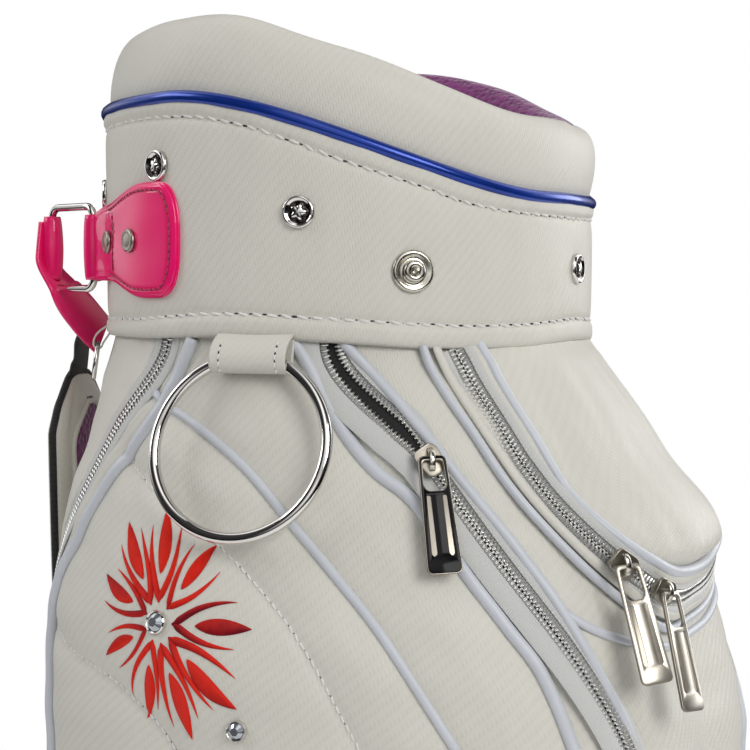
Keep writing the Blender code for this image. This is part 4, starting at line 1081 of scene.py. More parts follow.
def fitting_dents(angle, height):
    """Shallow hollows that the rivets and snaps pull into the cuff."""
    total = np.zeros(np.shape(angle))
    for a, z, size in CUFF_FITTINGS:
        d = np.hypot(np.radians((angle - a + 180) % 360 - 180) * CUFF_RADIUS, height - z)
        total -= 0.0005 * np.exp(-((d / size) ** 2))
    return total


RIVETS = ((0, 0.766), (72, 0.7885), (-72, 0.7885), (107, 0.8095), (-107, 0.8095), (143, 0.801), (-143, 0.801))
SNAPS = ((48.7, 0.7645), (-48.7, 0.7645))
CUFF_FITTINGS = [(a, z, 0.011) for a, z in RIVETS] + [(a, z, 0.013) for a, z in SNAPS]


def cuff_radius(angle, height):
    """The cuff's outer face: hems full above and below its two stitch lines, a soft band between."""
    folded = np.abs((angle + 180) % 360 - 180)
    upper, lower = through(CUFF_UPPER_STITCH, folded), through(CUFF_LOWER_STITCH, folded)
    top, edge = rim_height(angle), through(CUFF_EDGE, folded)
    hem = np.clip((height - upper) / (top - upper), 0, 1)
    foot = np.clip((lower - height) / (lower - edge), 0, 1)
    middle = np.clip((height - lower) / (upper - lower), 0, 1)
    s = np.radians(angle) * CUFF_RADIUS
    pucker = np.sin(s * 2 * math.pi / 0.0126)
    total = 0.0011 * np.clip(hem * 4, 0, 1) ** 0.6 + 0.0009 * np.clip(foot * 4, 0, 1) ** 0.6
    total += 0.0004 * np.sin(math.pi * middle) ** 0.5
    for line in (upper, lower):
        d = height - line
        total -= 0.0007 * np.exp(-((d / 0.0013) ** 2)) + 0.0003 * np.exp(-((d / 0.004) ** 2)) * (1 + 0.5 * pucker)
    total += 0.00022 * ripple(s, height * 0.5, 0.03, 31) + fitting_dents(angle, height)
    return CUFF_RADIUS + total - 0.0016 * foot**8 - 0.0014 * hem**10


def cuff():
    """The padded band round the collar, its two stitch lines and the blue cord on its rim."""
    columns, rows = 420, 64
    angle = np.arange(columns) * 360 / columns
    low, high = through(CUFF_EDGE, np.abs((angle + 180) % 360 - 180)), rim_height(angle) - 0.0017
    height = low + (high - low) * np.linspace(0, 1, rows)[:, None]
    angles = np.repeat(angle[None], rows, 0)
    obj = cloth_grid("padded_cuff", around(angles, cuff_radius(angles, height), height), LEATHER, CUFF_THICKNESS,
                     wrap=True, slot="leatherette", replaces="collar_cuff")
    fine = np.linspace(-180, 180, 900)
    for name, line in (("upper", CUFF_UPPER_STITCH), ("lower", CUFF_LOWER_STITCH)):
        z = through(line, np.abs(fine))
        stitching("cuff_stitch_" + name, around(fine, cuff_radius(fine, z) + 0.0002, z), around(fine, 1.0, 0.0))
    angle = np.arange(360) * 1.0
    points = around(angle, CUFF_RADIUS - 0.0006, rim_height(angle) + 0.0004)
    strand("blue_rim_cord", points, around(angle, 1.0, 0.0), round_profile(0.0029, 14), BLUE, True,
           slot="blue_piping", replaces="rim_piping")


ROLL_SECTION = ((0.1124, -0.0012), (0.1130, 0.0020), (0.1134, 0.0060), (0.1137, 0.0120), (0.1132, 0.0200),
                (0.1112, 0.0280), (0.1076, 0.0333), (0.1034, 0.0355), (0.0990, 0.0348), (0.0940, 0.0300),
                (0.0905, 0.0230), (0.0890, 0.0140), (0.0884, 0.0060), (0.0884, 0.0010))
ROLL_CREST = 0.49  # the share of the section, from its outer seam, where the leather meets the lining


def tilted(points, rim):
    """Points above the rim leaned forward, square to its slope."""
    points[..., 1] -= RIM_TILT * np.clip(points[..., 2] - rim, 0, 1)
    return points


def swell(obj, pinned, pressure, cap):
    """The padding's cloth simulation: the cover is blown up a little between its sewn edges."""
    group = obj.vertex_groups.new(name="pinned")
    group.add([int(i) for i in pinned], 1.0, "REPLACE")
    cloth = obj.modifiers.new("Cloth", "CLOTH")
    settings = cloth.settings
    settings.quality = 6
    settings.mass = 0.25
    settings.tension_stiffness = settings.compression_stiffness = 12
    settings.bending_stiffness = 0.4
    settings.use_pressure = True
    settings.uniform_pressure_force = pressure
    settings.vertex_group_mass = "pinned"
    settings.effector_weights.gravity = 0
    cloth.collision_settings.use_collision = False
    cloth.point_cache.frame_start, cloth.point_cache.frame_end = 1, CLOTH_FRAMES
    scene = bpy.context.scene
    for frame_number in range(1, CLOTH_FRAMES + 1):
        scene.frame_set(frame_number)
    count = len(obj.data.vertices)
    before, after = np.empty(count * 3), np.empty(count * 3)
    obj.data.vertices.foreach_get("co", before)
    obj.evaluated_get(bpy.context.evaluated_depsgraph_get()).data.vertices.foreach_get("co", after)
    obj.modifiers.remove(cloth)
    obj.vertex_groups.remove(group)
    scene.frame_set(1)
    move = (after - before).reshape(-1, 3)
    length = np.linalg.norm(move, axis=1, keepdims=True)
    move *= np.minimum(1, cap / np.maximum(length, 1e-9))
    obj.data.vertices.foreach_set("co", before + move.ravel())
    obj.data.update()


def roll():
    """The padded roll on the rim, puckered along its lower seam, leather outside and lining inside."""
    section = np.array(ROLL_SECTION)
    along = np.concatenate([[0], np.cumsum(np.linalg.norm(np.diff(section, axis=0), axis=1))])
    rows, columns = 36, 320
    t = np.linspace(0, along[-1], rows)
    angle = np.arange(columns) * 360 / columns
    r = np.repeat(hermite(along, section[:, 0], t)[:, None], columns, 1)
    z = np.repeat(hermite(along, section[:, 1], t)[:, None], columns, 1)
    s = np.radians(angle)[None] * CUFF_RADIUS + 0 * r
    share = (t / t[-1])[:, None]
    pucker = np.exp(-((share / 0.10) ** 2)) + 0.6 * np.exp(-(((1 - share) / 0.10) ** 2))
    swelling = (0.0006 * ripple(s, share * 0.10, 0.07, 41) * np.sin(math.pi * share)
                + 0.0004 * pucker * ripple(s, share * 0.03, 0.012, 42) * np.clip(share * 12, 0, 1))
    d = unit(np.stack([r - 0.1020, z - 0.017], -1))
    r, z = r + d[..., 0] * swelling, z + d[..., 1] * swelling
    angles = np.repeat(angle[None], rows, 0)
    points = tilted(around(angles, r, rim_height(angles) + z), rim_height(angles))
    split = int(rows * ROLL_CREST)
    obj = cloth_grid("padded_rim_roll", points[:split + 1], LEATHER, 0.0, wrap=True, slot="leatherette",
                     replaces="rim_roll")
    count = (split + 1) * columns
    swell(obj, list(range(columns)) + list(range(count - columns, count)), 40.0, 0.003)
    finish_pad(obj, 0.0015)
    inner = cloth_grid("rim_roll_lining", points[split:], PURPLE, 0.0, wrap=True, slot="purple_lining", facing="in")
    finish_pad(inner, 0.0010)
    share = np.linspace(0, 1, 24)[:, None]
    foot = 0.7929
    top = rim_height(angle) + 0.0125
    height = foot + (top - foot) * share
    folds = 0.0009 * ripple(np.radians(angle)[None] * 0.087 + 0 * height, height * 0.25, 0.014, 44)
    folds = folds * np.sin(math.pi * share) ** 0.5
    points = around(np.repeat(angle[None], 24, 0), 0.0868 + folds, height)
    cloth_grid("gathered_lining", tilted(points, rim_height(angles[:24])), PURPLE, 0.0009, wrap=True, facing="in",
               slot="purple_lining", replaces="rim_lining")


def finish_pad(obj, thickness):
    """One subdivision and the cover's thickness."""
    obj.modifiers.new("Smooth", "SUBSURF").render_levels = 1
    modifier = obj.modifiers.new("Thickness", "SOLIDIFY")
    modifier.thickness = thickness
    modifier.offset = -1


WELL_ROWS = ((-0.083, -0.031), (-0.024, 0.024), (0.031, 0.083))
WELL_INNER, WELL_OUTER, WELL_POINTS = 0.0035, 0.083, 64
DIVIDER_TOP, DIVIDER_THICKNESS, DIVIDER_RADIUS = 0.7925, 0.016, 0.1112


def well_outline(x0, x1, y0, y1, radius):
    """A club well's outline: a box with soft corners, kept inside the divider's round frame."""
    reach = math.hypot(max(abs(x0), abs(x1)), max(abs(y0), abs(y1)))
    shrink = min(1, (radius - 0.003) / reach) if reach > radius else 1
    cx, cy = (x0 + x1) / 2 * shrink, (y0 + y1) / 2 * shrink
    points = []
    for i in range(WELL_POINTS):
        a = 2 * math.pi * i / WELL_POINTS
        dx, dy = math.cos(a), math.sin(a)
        reaches = [((high if d > 0 else low) - centre) / d
                   for d, low, high, centre in ((dx, x0, x1, cx), (dy, y0, y1, cy)) if abs(d) > 1e-9]
        along = cx * dx + cy * dy
        reaches.append(-along + math.sqrt(along * along - cx * cx - cy * cy + radius * radius))
        r = sum(value**-9 for value in reaches) ** (-1 / 9)
        points.append((cx + r * dx, cy + r * dy))
    return points


def dividers():
    """The padded six-way divider at the top."""
    circle = [(DIVIDER_RADIUS * math.cos(a), DIVIDER_RADIUS * math.sin(a)) for a in np.arange(96) * math.pi / 48]
    wells = [well_outline(x0, x1, y0, y1, WELL_OUTER) for y0, y1 in WELL_ROWS
             for x0, x1 in ((WELL_INNER, WELL_OUTER), (-WELL_OUTER, -WELL_INNER))]
    verts, faces = plate([circle, *wells], DIVIDER_THICKNESS, 0.0030, 3)
    verts = np.stack([verts[:, 0], verts[:, 2], verts[:, 1] + DIVIDER_TOP - DIVIDER_THICKNESS / 2], -1)
    obj = build("padded_dividers", verts, faces, PURPLE, slot="purple_lining", replaces="divider_frame", sharp=50)


# Rivets, snaps and stones


# Turned outlines as (radius, outwards), from the middle to the foot; a rivet's and a stone's cup's as shares.
RIVET_RADIUS, RIVET_DOME, FITTING_LIFT = 0.0068, 0.0021, 0.0001
RIVET_PROFILE = ((0, 1), (0.24, 0.98), (0.40, 0.80), (0.50, 0.30), (0.70, 0.25), (0.80, 0.90), (0.92, 0.95), (1, 0.35))
SNAP_PROFILE = ((0, 0.0012), (0.0011, 0.0013), (0.0016, 0.0036), (0.0022, 0.0043), (0.0034, 0.0044),
                (0.0044, 0.0039), (0.0046, 0.0026), (0.0041, 0.0014), (0.0050, 0.0008), (0.0062, 0.0009),
                (0.0072, 0.0016), (0.0082, 0.0015), (0.0088, 0.0007), (0.0088, -0.0002), (0, -0.0002))
STUD_PROFILE = ((0, 0.0019), (0.0026, 0.0018), (0.0036, 0.0015), (0.0041, 0.0018), (0.0049, 0.0014), (0.0052, 0.0),
                (0, -0.0004))
STONE_CUP = ((0, 0.0006), (0.7, 0.0006), (0.80, 0.0016), (0.92, 0.0021), (1, 0.0015), (1.04, 0.0), (0, -0.0002))


def rivet_parts():
    """A rivet's points, faces and materials: bright ring, dark hollow and a five-lobed bright middle."""
    profile = [(RIVET_RADIUS * share, RIVET_DOME * rise) for share, rise in RIVET_PROFILE]
    verts, faces = lathe([*profile, (RIVET_RADIUS, -0.0002), (0, -0.0002)], 48)
    r = np.hypot(verts[:, 0], verts[:, 2])
    middle = (r < RIVET_RADIUS * 0.55) & (r > 1e-6)
    stretch = 1 + middle * 0.22 * np.cos(5 * np.arctan2(verts[:, 2], verts[:, 0]))
    verts[:, 0], verts[:, 2] = verts[:, 0] * stretch, verts[:, 2] * stretch
    centres = np.array([r[f].mean() for f in faces]) / RIVET_RADIUS
    return verts, faces, ((centres > 0.42) & (centres < 0.72)).astype(int)


def fittings():
    """The ringed rivets and the two rain-hood snaps on the cuff."""
    verts, faces, mark = rivet_parts()
    for i, (angle, height) in enumerate(RIVETS, 1):
        matrix = facing_out(angle, CUFF_RADIUS + FITTING_LIFT, height)
        build("rivet_%d" % i, into(matrix, verts), faces, [CHROME, DARK_METAL], slot="chrome",
              replaces="collar_rivet_%d" % i, material_of=mark)
    verts, faces = lathe(SNAP_PROFILE, 56)
    for side, (angle, height) in zip(("left", "right"), SNAPS):
        matrix = facing_out(angle, CUFF_RADIUS + FITTING_LIFT, height)
        build("snap_" + side, into(matrix, verts), faces, NICKEL, slot="nickel", replaces="snap_stud_" + side)


def stone(name, angle, height, radius):
    """A cut stone in a rimmed cup, set on the skin."""
    matrix = skin_frame(angle, height, float(relief(np.array([float(angle)]), np.array([height]))[0]) + 0.0001)
    cup, cup_faces = lathe([(radius * share, out) for share, out in STONE_CUP], 40)
    ring = np.arange(8) * math.pi / 4

    def corners(reach, turn, out):
        return np.stack([reach * np.cos(ring + turn), np.full(8, -out), reach * np.sin(ring + turn)], -1)

    table, girdle = corners(radius * 0.40, 0.39, 0.0030), corners(radius * 0.84, 0.0, 0.0015)
    verts = np.vstack([table, girdle, [(0, -0.0003, 0)]])
    pairs = [(i, (i + 1) % 8) for i in range(8)]
    faces = [list(range(8))] + [[i, 8 + i, 8 + j] for i, j in pairs]
    faces += [[i, 8 + j, j] for i, j in pairs] + [[16, 8 + j, 8 + i] for i, j in pairs]
    verts, all_faces = merged([(cup, cup_faces), (verts, faces)])
    build(name, into(matrix, verts), all_faces, [CHROME, STONE], slot="chrome", sharp=25,
          material_of=[0] * len(cup_faces) + [1] * len(faces))


# Embroidery


def petal(spine, width, domes=5, shade=(0.2, 1.0)):
    """A leaf of satin stitch in the plane: points (x, y, lift), quads, and (distance along, painted sheen level) for
    each point; shade gives the painted sheen level at the two ends.
    """
    spine = np.asarray(spine, float)
    tangent = np.gradient(spine, axis=0)
    tangent /= np.linalg.norm(tangent, axis=1)[:, None]
    normal = np.stack([-tangent[:, 1], tangent[:, 0]], -1)
    across = np.linspace(-1, 1, domes)
    flat = spine[:, None] + normal[:, None] * (width[:, None] * across)[..., None]
    lift = 0.00075 * (1 - across**2) ** 0.5 * np.clip(width[:, None] / 0.0012, 0.15, 1)
    along = np.concatenate([[0], np.cumsum(np.linalg.norm(np.diff(spine, axis=0), axis=1))])
    # Painted sheen: lighter towards one end and one edge of the leaf, darker towards the other, as light would catch
    # the satin.
    sheen_level = np.linspace(shade[0], shade[1], len(spine))[:, None] + 0.18 * across
    points = np.concatenate([flat, lift[..., None]], -1).reshape(-1, 3)
    marks = np.stack([np.repeat(along[:, None], domes, 1), sheen_level], -1).reshape(-1, 2)
    return points, grid_faces(len(spine), domes), marks


# Each leaf's direction in degrees and length; the flowers' and stones' places as angle, height and size.
PETALS = ((98, 0.047), (56, 0.041), (2, 0.045), (-36, 0.051), (-66, 0.050), (-98, 0.042), (-149, 0.035),
          (157, 0.040), (126, 0.048))
FLOWERS = (("left", 93.9, 0.622, 0.96), ("right", -93.9, 0.622, 0.96), ("front", -6.5, 0.511, 0.86))
STONES = (("left", 93.9, 0.622, 0.0048), ("right", -93.9, 0.622, 0.0048), ("front", -6.5, 0.511, 0.0048),
          ("low_left", 78.1, 0.585, 0.0042), ("low_right", -78.1, 0.585, 0.0042))


def flower_shapes(reach):
    """Radial leaves, each held between two arms that meet at its foot and bow round it."""
    shapes = []
    t = np.linspace(0, 1, 24)
    turns = [turn for turn, _ in PETALS]
    for k, (turn, size) in enumerate(PETALS):
        size *= reach
        c, s = math.cos(math.radians(turn)), math.sin(math.radians(turn))
        rotate = np.array(((c, s), (-s, c)))
        bend = 0.04 * size * math.sin(math.radians(3 * turn))
        leaf = np.stack([size * (0.42 + 0.58 * t), bend * np.sin(math.pi * t)], -1)
        width = size * 0.074 * np.sin(math.pi * t**0.85) ** 0.85 + 1e-5
        # Painted sheen: leaves that point up or down are painted brighter and those that lie across darker, as satin
        # stitched across them catches the light; the arms follow.
        lit = 0.16 + 0.50 * abs(s)
        shapes.append(petal(leaf @ rotate, width, 7, (lit + 0.15, lit - 0.05)))
        for way, neighbour in ((1, turns[k - 1]), (-1, turns[(k + 1) % len(turns)])):
            half = min(math.radians(abs((neighbour - turn + 180) % 360 - 180)) / 2, 0.42)
            spread = half * 0.90 * (1 - np.exp(-((t / 0.20) ** 1.2))) * (1 - 0.30 * t**2)
            radius = size * (0.17 + 0.70 * t)
            arm = np.stack([radius * np.cos(spread), way * radius * np.sin(spread)], -1)
            width = size * 0.036 * np.clip(t / 0.10, 0.15, 1) * (1 - t**1.7) ** 0.8 + 1e-5
            shapes.append(petal(arm @ rotate, width, 5, (lit - 0.15, lit + 0.30 - 0.15 * way)))
    return shapes


def flower(name, angle, height, reach):
    """The radial motif embroidered on the skin about a point."""
    shapes = flower_shapes(reach)
    flat, quads = merged([(points, faces.tolist()) for points, faces, _ in shapes])
    marks = np.vstack([mark for _, _, mark in shapes])
    angles = angle - np.degrees(flat[:, 0] / float(skin_radius(angle, height)))
    heights = height + flat[:, 1]
    verts = on_skin(angles, heights, relief((angles + 180) % 360 - 180, heights) + 0.00012 + flat[:, 2])
    obj = build(name, verts, quads, RED, slot="leatherette", facing="out")
    thread = obj.data.attributes.new("thread", "FLOAT_VECTOR", "POINT")
    thread.data.foreach_set("vector", np.column_stack([marks, np.zeros(len(marks))]).astype(np.float32).ravel())


# Straps and rings


def ring_outline(length, half_height, corner):
    """A strap ring's outline from its hinge side: a box with round corners."""
    points = []
    for cx, cz, start in ((length - corner, half_height - corner, 90), (length - corner, corner - half_height, 0),
                          (corner, corner - half_height, -90), (corner, half_height - corner, -180)):
        for a in np.radians(start - np.arange(11) * 9.0):
            points.append((cx + corner * math.cos(a), 0, cz + corner * math.sin(a)))
    return np.array(points)


def closed_resample(points, count):
    """A closed outline's points at even steps."""
    ring = np.vstack([points, points[:1]])
    along = travelled(ring)
    return straight(np.linspace(0, along[-1], count, endpoint=False), along, ring)


def hanging_ring(name, matrix, size, wire, sides):
    """A round ring hanging from its frame's origin."""
    a = np.arange(120) * 2 * math.pi / 120
    points = into(matrix, np.stack([size * np.sin(a), 0 * a, size * (np.cos(a) - 1)], -1))
    strand(name + "_wire", points, outward_of(matrix), round_profile(wire, sides), CHROME, True, body=name,
           slot="chrome", replaces=name)


def hanging_loop(half, centre_z, radius, tuck, rise, columns):
    """A folded strap round a ring, its two ends tucked up inside the cuff: rows of local points."""
    rows = []
    for x in np.linspace(-half, half, columns):
        row = []
        for q in np.linspace(0, 1, 44):
            if q < 0.25:
                t = q / 0.25
                inward = (1 - t) ** 2.4
                row.append((x, tuck * inward - radius * (1 - inward), rise * (1 - t) + centre_z * t))
            elif q < 0.75:
                b = (q - 0.25) / 0.5 * math.pi
                row.append((x, -radius * math.cos(b), centre_z - radius * math.sin(b)))
            else:
                t = (q - 0.75) / 0.25
                row.append((x, radius * (1 - t) + (tuck + 0.001) * t, centre_z * (1 - t) + rise * t))
        rows.append(row)
    return np.array(rows)


def towel_ring():
    """The towel ring and its leather sleeve, which comes from inside the cuff and wraps the ring's upper arc."""
    place = (TOWEL_ANGLE, TOWEL_HINGE_RADIUS, TOWEL_HINGE_HEIGHT)
    hanging_ring("towel_ring", facing_out(*place, TOWEL_RING_LEAN), TOWEL_RING_RADIUS, 0.0025, 18)
    hinge = facing_out(*place)
    points = into(hinge, hanging_loop(0.0168, -0.0020, 0.0043, 0.0060, 0.0095, 40))
    obj = cloth_grid("towel_sleeve", points, LEATHER_PLAIN, 0.0011, body=None, slot="leatherette",
                     replaces="towel_ring_tab")
    obj.modifiers["Thickness"].offset = 0
    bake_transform(obj)
    for i, column in enumerate((5, 34)):
        line = points[column, 3:21]
        outs = unit(unit(line - points[column, 8:30].mean(0)) + outward_of(hinge))
        made = stitching("towel_sleeve_stitch_%d" % (i + 1), line + outs * 0.0005, outs, pitch=0.0034, length=0.0022,
                         radius=0.00035, hole=0.00042, body=None)
        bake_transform(made)


def accessory_ring():
    """The small ring under the collar and its leather loop."""
    place = (143, 0.1198, 0.7315)
    hanging_ring("accessory_ring", facing_out(*place, 8), 0.0085, 0.0011, 12)
    points = into(facing_out(*place), hanging_loop(0.0055, -0.0004, 0.0021, 0.0078, 0.0095, 14))
    obj = cloth_grid("accessory_loop", points, LEATHER_PLAIN, 0.0008, slot="leatherette")
    obj.modifiers["Thickness"].offset = 0


def tab_nose(share):
    """How far round the tab's end lies, as a share of its nose, by the share of its half width."""
    return 1 - np.maximum(1 - np.abs(share) ** TAB_SQUARENESS, 0) ** (1 / TAB_SQUARENESS)


def tab_layer(name, grow, base, thick, **more):
    """One layer of the pink tab: a rounded shield that narrows to the sleeve round the ring's bar."""
    share = np.sin(np.linspace(-1, 1, 56) * math.pi / 2)
    first = TAB_END - math.degrees(grow / CUFF_RADIUS) + TAB_NOSE * tab_nose(share)
    run = np.linspace(0, 1, 78)[:, None] ** 1.25
    angle = first + (TAB_ROOT - first) * run
    half = through(TAB_HALF, angle) + grow
    nearest = np.minimum((1 - np.abs(share)) * half, np.radians(angle - first) * CUFF_RADIUS)
    lift = base + thick * (1 - 0.55 * np.exp(-((nearest / 0.0012) ** 2)))
    lift = lift - 0.00030 * np.exp(-(((nearest - TAB_INSET) / 0.0007) ** 2))
    lift = lift + 0.00016 * ripple(np.radians(angle) * 0.115, share * 0.02, 0.026, 51)
    away = np.clip((angle - 129) / 10, 0, 1) ** 1.6
    radius = CUFF_RADIUS + 0.0008 + lift + away * 0.0046
    points = around(angle, radius, TAB_MIDDLE + half * share - away * 0.0020)
    cloth_grid(name, points, PINK, thick + 0.0008, slot="patent_pink", sharp=60, **more)


def tab_stitching(name, angle, offset):
    """Dark stitches on the pink tab, through angles and heights above its middle."""
    stitching(name, around(angle, CUFF_RADIUS + 0.0036, TAB_MIDDLE + offset), around(angle + 0 * offset, 1.0, 0.0),
              DARK_PINK_THREAD, 0.0034, 0.0023, 0.00030, 0.00035, slot="patent_pink")


def strap_tab():
    """The pink tab: two layers, stitching round its edge and across it, two studs and the ring's sleeve."""
    tab_layer("pink_tab_backing", 0.0006, 0.0, 0.0012)
    tab_layer("pink_tab", 0.0, 0.0012, 0.0014, replaces="strap_tab_upper")
    along_edge = np.linspace(128, TAB_END + TAB_NOSE, 30)
    kept = through(TAB_HALF, along_edge) - TAB_INSET
    share = np.sin(np.linspace(1, -1, 40) * math.pi / 2)
    inner = math.degrees(TAB_INSET / CUFF_RADIUS)
    nose = np.column_stack([TAB_END + inner + (TAB_NOSE - inner) * tab_nose(share), share * kept[-1]])
    rim = np.vstack([np.column_stack([along_edge, kept]), nose[1:-1],
                     np.column_stack([along_edge[::-1], -kept[::-1]])])
    tab_stitching("pink_tab_stitch", rim[:, 0], rim[:, 1])
    tab_stitching("pink_tab_cross_stitch", 124.6, np.linspace(-0.0135, 0.0135, 20))
    verts, faces = lathe(STUD_PROFILE, 40)
    for i, angle in enumerate((115.5, 128), 1):
        matrix = facing_out(angle, CUFF_RADIUS + 0.0034, TAB_MIDDLE)
        build("tab_stud_%d" % i, into(matrix, verts), faces, DULL_NICKEL, slot="nickel",
              replaces="tab_rivet_%d" % i)
    hinge = around(STRAP_HINGE_ANGLE, STRAP_HINGE_RADIUS, STRAP_HINGE_HEIGHT)
    sleeve("pink_tab_sleeve", hinge, (0, 0, 1), STRAP_LOOP_HALF_HEIGHT, 0.0043, "root")


def sleeve(name, centre, axis, half, radius, body, replaces=None, bulge=0.0003):
    """A leather sleeve about an axis, hollow for the wire, with rolled ends."""
    axis = unit(np.asarray(axis, float))
    t = np.linspace(-1, 1, 17)
    centres = np.asarray(centre) + axis * (t * half)[:, None]
    outer = radius + bulge * np.cos(t * 2.2) - 0.0004 * t**8
    first = (0.2, 1, 0.1) if abs(axis[2]) > 0.5 else (0, 0, 1)
    frames = turning_frames(centres, first)
    outside = rings_along(centres, *frames, outer[:, None, None] * round_profile(1, 28))
    inside_ = rings_along(centres, *frames, round_profile(radius - 0.0018, 28))
    rings = np.vstack([outside, inside_[::-1]])
    return build(name, rings, grid_faces(*rings.shape[:2], True, True), PINK, body=body, slot="patent_pink",
                 replaces=replaces)


def strap_ring(which, matrix, outline, outs):
    """A strap ring's wire round an outline in its own frame."""
    name = "strap_ring_" + which
    strand("strap_ring_wire_" + which, into(matrix, outline), outs, round_profile(0.00175, 14), CHROME, True,
           body=name, slot="chrome", replaces=name)


def upper_strap():
    """The upper ring on the pink tab, the pink tail folded round its bar, and the black webbing down to the pad."""
    hinge = around(STRAP_HINGE_ANGLE, STRAP_HINGE_RADIUS, STRAP_HINGE_HEIGHT)
    away = unit(np.array((0.0084, 0.031, 0)))
    matrix = np.eye(4)
    matrix[:3, 0], matrix[:3, 1], matrix[:3, 2] = away, np.cross((0, 0, 1), away), (0, 0, 1)
    matrix[:3, 3] = hinge
    strap_ring("upper", matrix, closed_resample(ring_outline(0.032, 0.019, 0.005), 140), matrix[:3, 1])
    far = into(matrix, [(0.032, 0, 0)])[0]
    sleeve("strap_sleeve_upper", far, (0, 0, 1), STRAP_LOOP_HALF_HEIGHT, 0.0045, "strap_ring_upper",
           "strap_loop_upper", 0.0005)
    # The pink leather folds round the bar and runs down to the cuff's foot, over the black webbing.
    path = np.array([far + (0.0015, 0.0032, 0.0125), far + (0.0015, 0.0036, -0.004), around(150.5, 0.1365, 0.7580),
                     around(153, 0.1295, 0.7465), around(158, 0.1215, 0.7340)])
    band("pink_strap_tail", path, (0.0070, 0.0100, 0.0120, 0.0125, 0.0115), 0.0022, PINK, "patent_pink", None,
         ("strap_ring_upper", "root"), far + (0, 0, -0.006), around(151, 0.1315, 0.7480))
    path = np.array([around(158, 0.1280, 0.7420), around(160.5, 0.1330, 0.7350), around(165, 0.1385, 0.7250),
                     strap_line(np.float64(0.0)) + (0, 0, -0.004)])
    black_web("upper", path)
    path = np.array([strap_line(np.float64(1.0)) + (0, 0, 0.012), around(STRAP_ANGLE, 0.1365, 0.3790),
                     around(STRAP_ANGLE, 0.1295, 0.3600)])
    black_web("lower", path, ("root", "strap_ring_lower"), path[0], path[2])


def band(name, path, halves, thick, look, slot, replaces, blend=None, start=None, end=None):
    """A flat strap along a smooth path, its face turned away from the bag; given a blend, it rides on no body and has
    its place baked into its points.
    """
    along = travelled(path)
    t = np.linspace(0, along[-1], 60)
    half = hermite(along, halves, t)
    profiles = np.stack([band_profile(h, thick, 0.35) for h in half])
    profiles[..., 1] += 0.0006 * (1 - (profiles[..., 0] / half[:, None]) ** 2)
    obj = strand(name, curved(t, along, path), around(float(STRAP_ANGLE), 1.0, 0.0), profiles, look,
                 body=None if blend else "root", slot=slot, replaces=replaces, sharp=60)
    if blend:
        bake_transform(obj)


def black_web(which, path, *blend):
    """A length of the strap's black webbing."""
    band("black_web_" + which, path, (0.0108,) * len(path), 0.0019, WEBBING, "black_webbing", "strap_web_" + which,
         *blend)


def strap_line(t):
    """The middle of the shoulder pad: it starts under the collar, well out from the bag, and comes in as it falls."""
    return around(np.full(np.shape(t), float(STRAP_ANGLE)), 0.1440 - 0.0105 * t + 0.0025 * np.sin(np.pi * t),
                  0.714 - 0.314 * t)


def mesh_reach(t):
    """How far across the pad its purple mesh goes, by the share of the pad's length."""
    from_end = np.clip(np.minimum(t - 0.035, 0.955 - t) / 0.09, 0, 1)
    return 0.66 * (1 - (1 - from_end) ** 2.4) * (from_end > 0.05)


def shoulder_pad():
    """A padded strap as one closed body: white leather, with purple mesh set in the side towards the bag."""
    rows, ring = 132, 64
    t = np.linspace(0, 1, rows)
    centre = strap_line(t)
    ends = np.clip(np.minimum(t, 1 - t) / 0.05, 0.0, 1) ** 0.5
    taper = np.minimum(1, 0.50 + 1.8 * np.sin(np.pi * t)) * (0.55 + 0.45 * ends)
    out = around(float(STRAP_ANGLE), 1.0, 0.0)
    side = unit(np.cross((0, 0, 1.0), out))
    a = np.arange(ring) * 2 * math.pi / ring
    across = np.sign(np.cos(a)) * np.abs(np.cos(a)) ** 0.75
    dome = np.sign(np.sin(a)) * np.abs(np.sin(a)) ** 0.80
    dome = dome * (1 - 0.20 * np.exp(-(((np.abs(across) - 0.70) / 0.06) ** 2)))
    width, thick = 0.0300 * taper, 0.0072 * (0.30 + 0.70 * ends) * (0.55 + 0.45 * taper)
    points = (centre[:, None] + side * (width[:, None] * across)[..., None]
              + out * (thick[:, None] * dome)[..., None])
    beside = np.abs(across + np.roll(across, -1)) / 2
    inward = np.sin(a + math.pi / ring) < 0
    mark = ((beside[None] < mesh_reach((t[:-1] + t[1:]) / 2)[:, None]) & inward[None]).astype(int).ravel()
    obj = build("shoulder_pad_body", points, capped_faces(rows, ring), [LEATHER_PLAIN, PURPLE], slot="leatherette",
                replaces="shoulder_pad", material_of=[*mark, 0, 0])
    index = np.arange(rows * ring).reshape(rows, ring)
    pinned = np.concatenate([index[:, np.abs(across) > 0.93].ravel(), index[0], index[-1]])
    swell(obj, pinned, 2.5, 0.003)
    # A leather cord over the seam between the mesh and the white cover, laid on the swollen cover.
    cover = np.empty(rows * ring * 3)
    obj.data.vertices.foreach_get("co", cover)
    columns = np.flatnonzero(a >= math.pi)
    seam = np.array([straight((reach, -reach), across[columns], row)
                     for row, reach in zip(cover.reshape(rows, ring, 3)[:, columns], mesh_reach(t)) if reach > 0.08])
    seam = closed_resample(np.vstack([seam[:, 0], seam[::-1, 1]]), 260) - out * 0.0002
    strand("shoulder_pad_seam", seam, -out, round_profile(0.0014, 10), LEATHER_PLAIN, True, slot="leatherette")
    obj.modifiers.new("Smooth", "SUBSURF").render_levels = 1
    edge = np.vstack([centre + side * width[:, None], (centre - side * width[:, None])[::-1]])
    strand("shoulder_pad_piping", closed_resample(edge, 320), out, round_profile(0.0019, 10), WEBBING, True,
           slot="black_webbing")


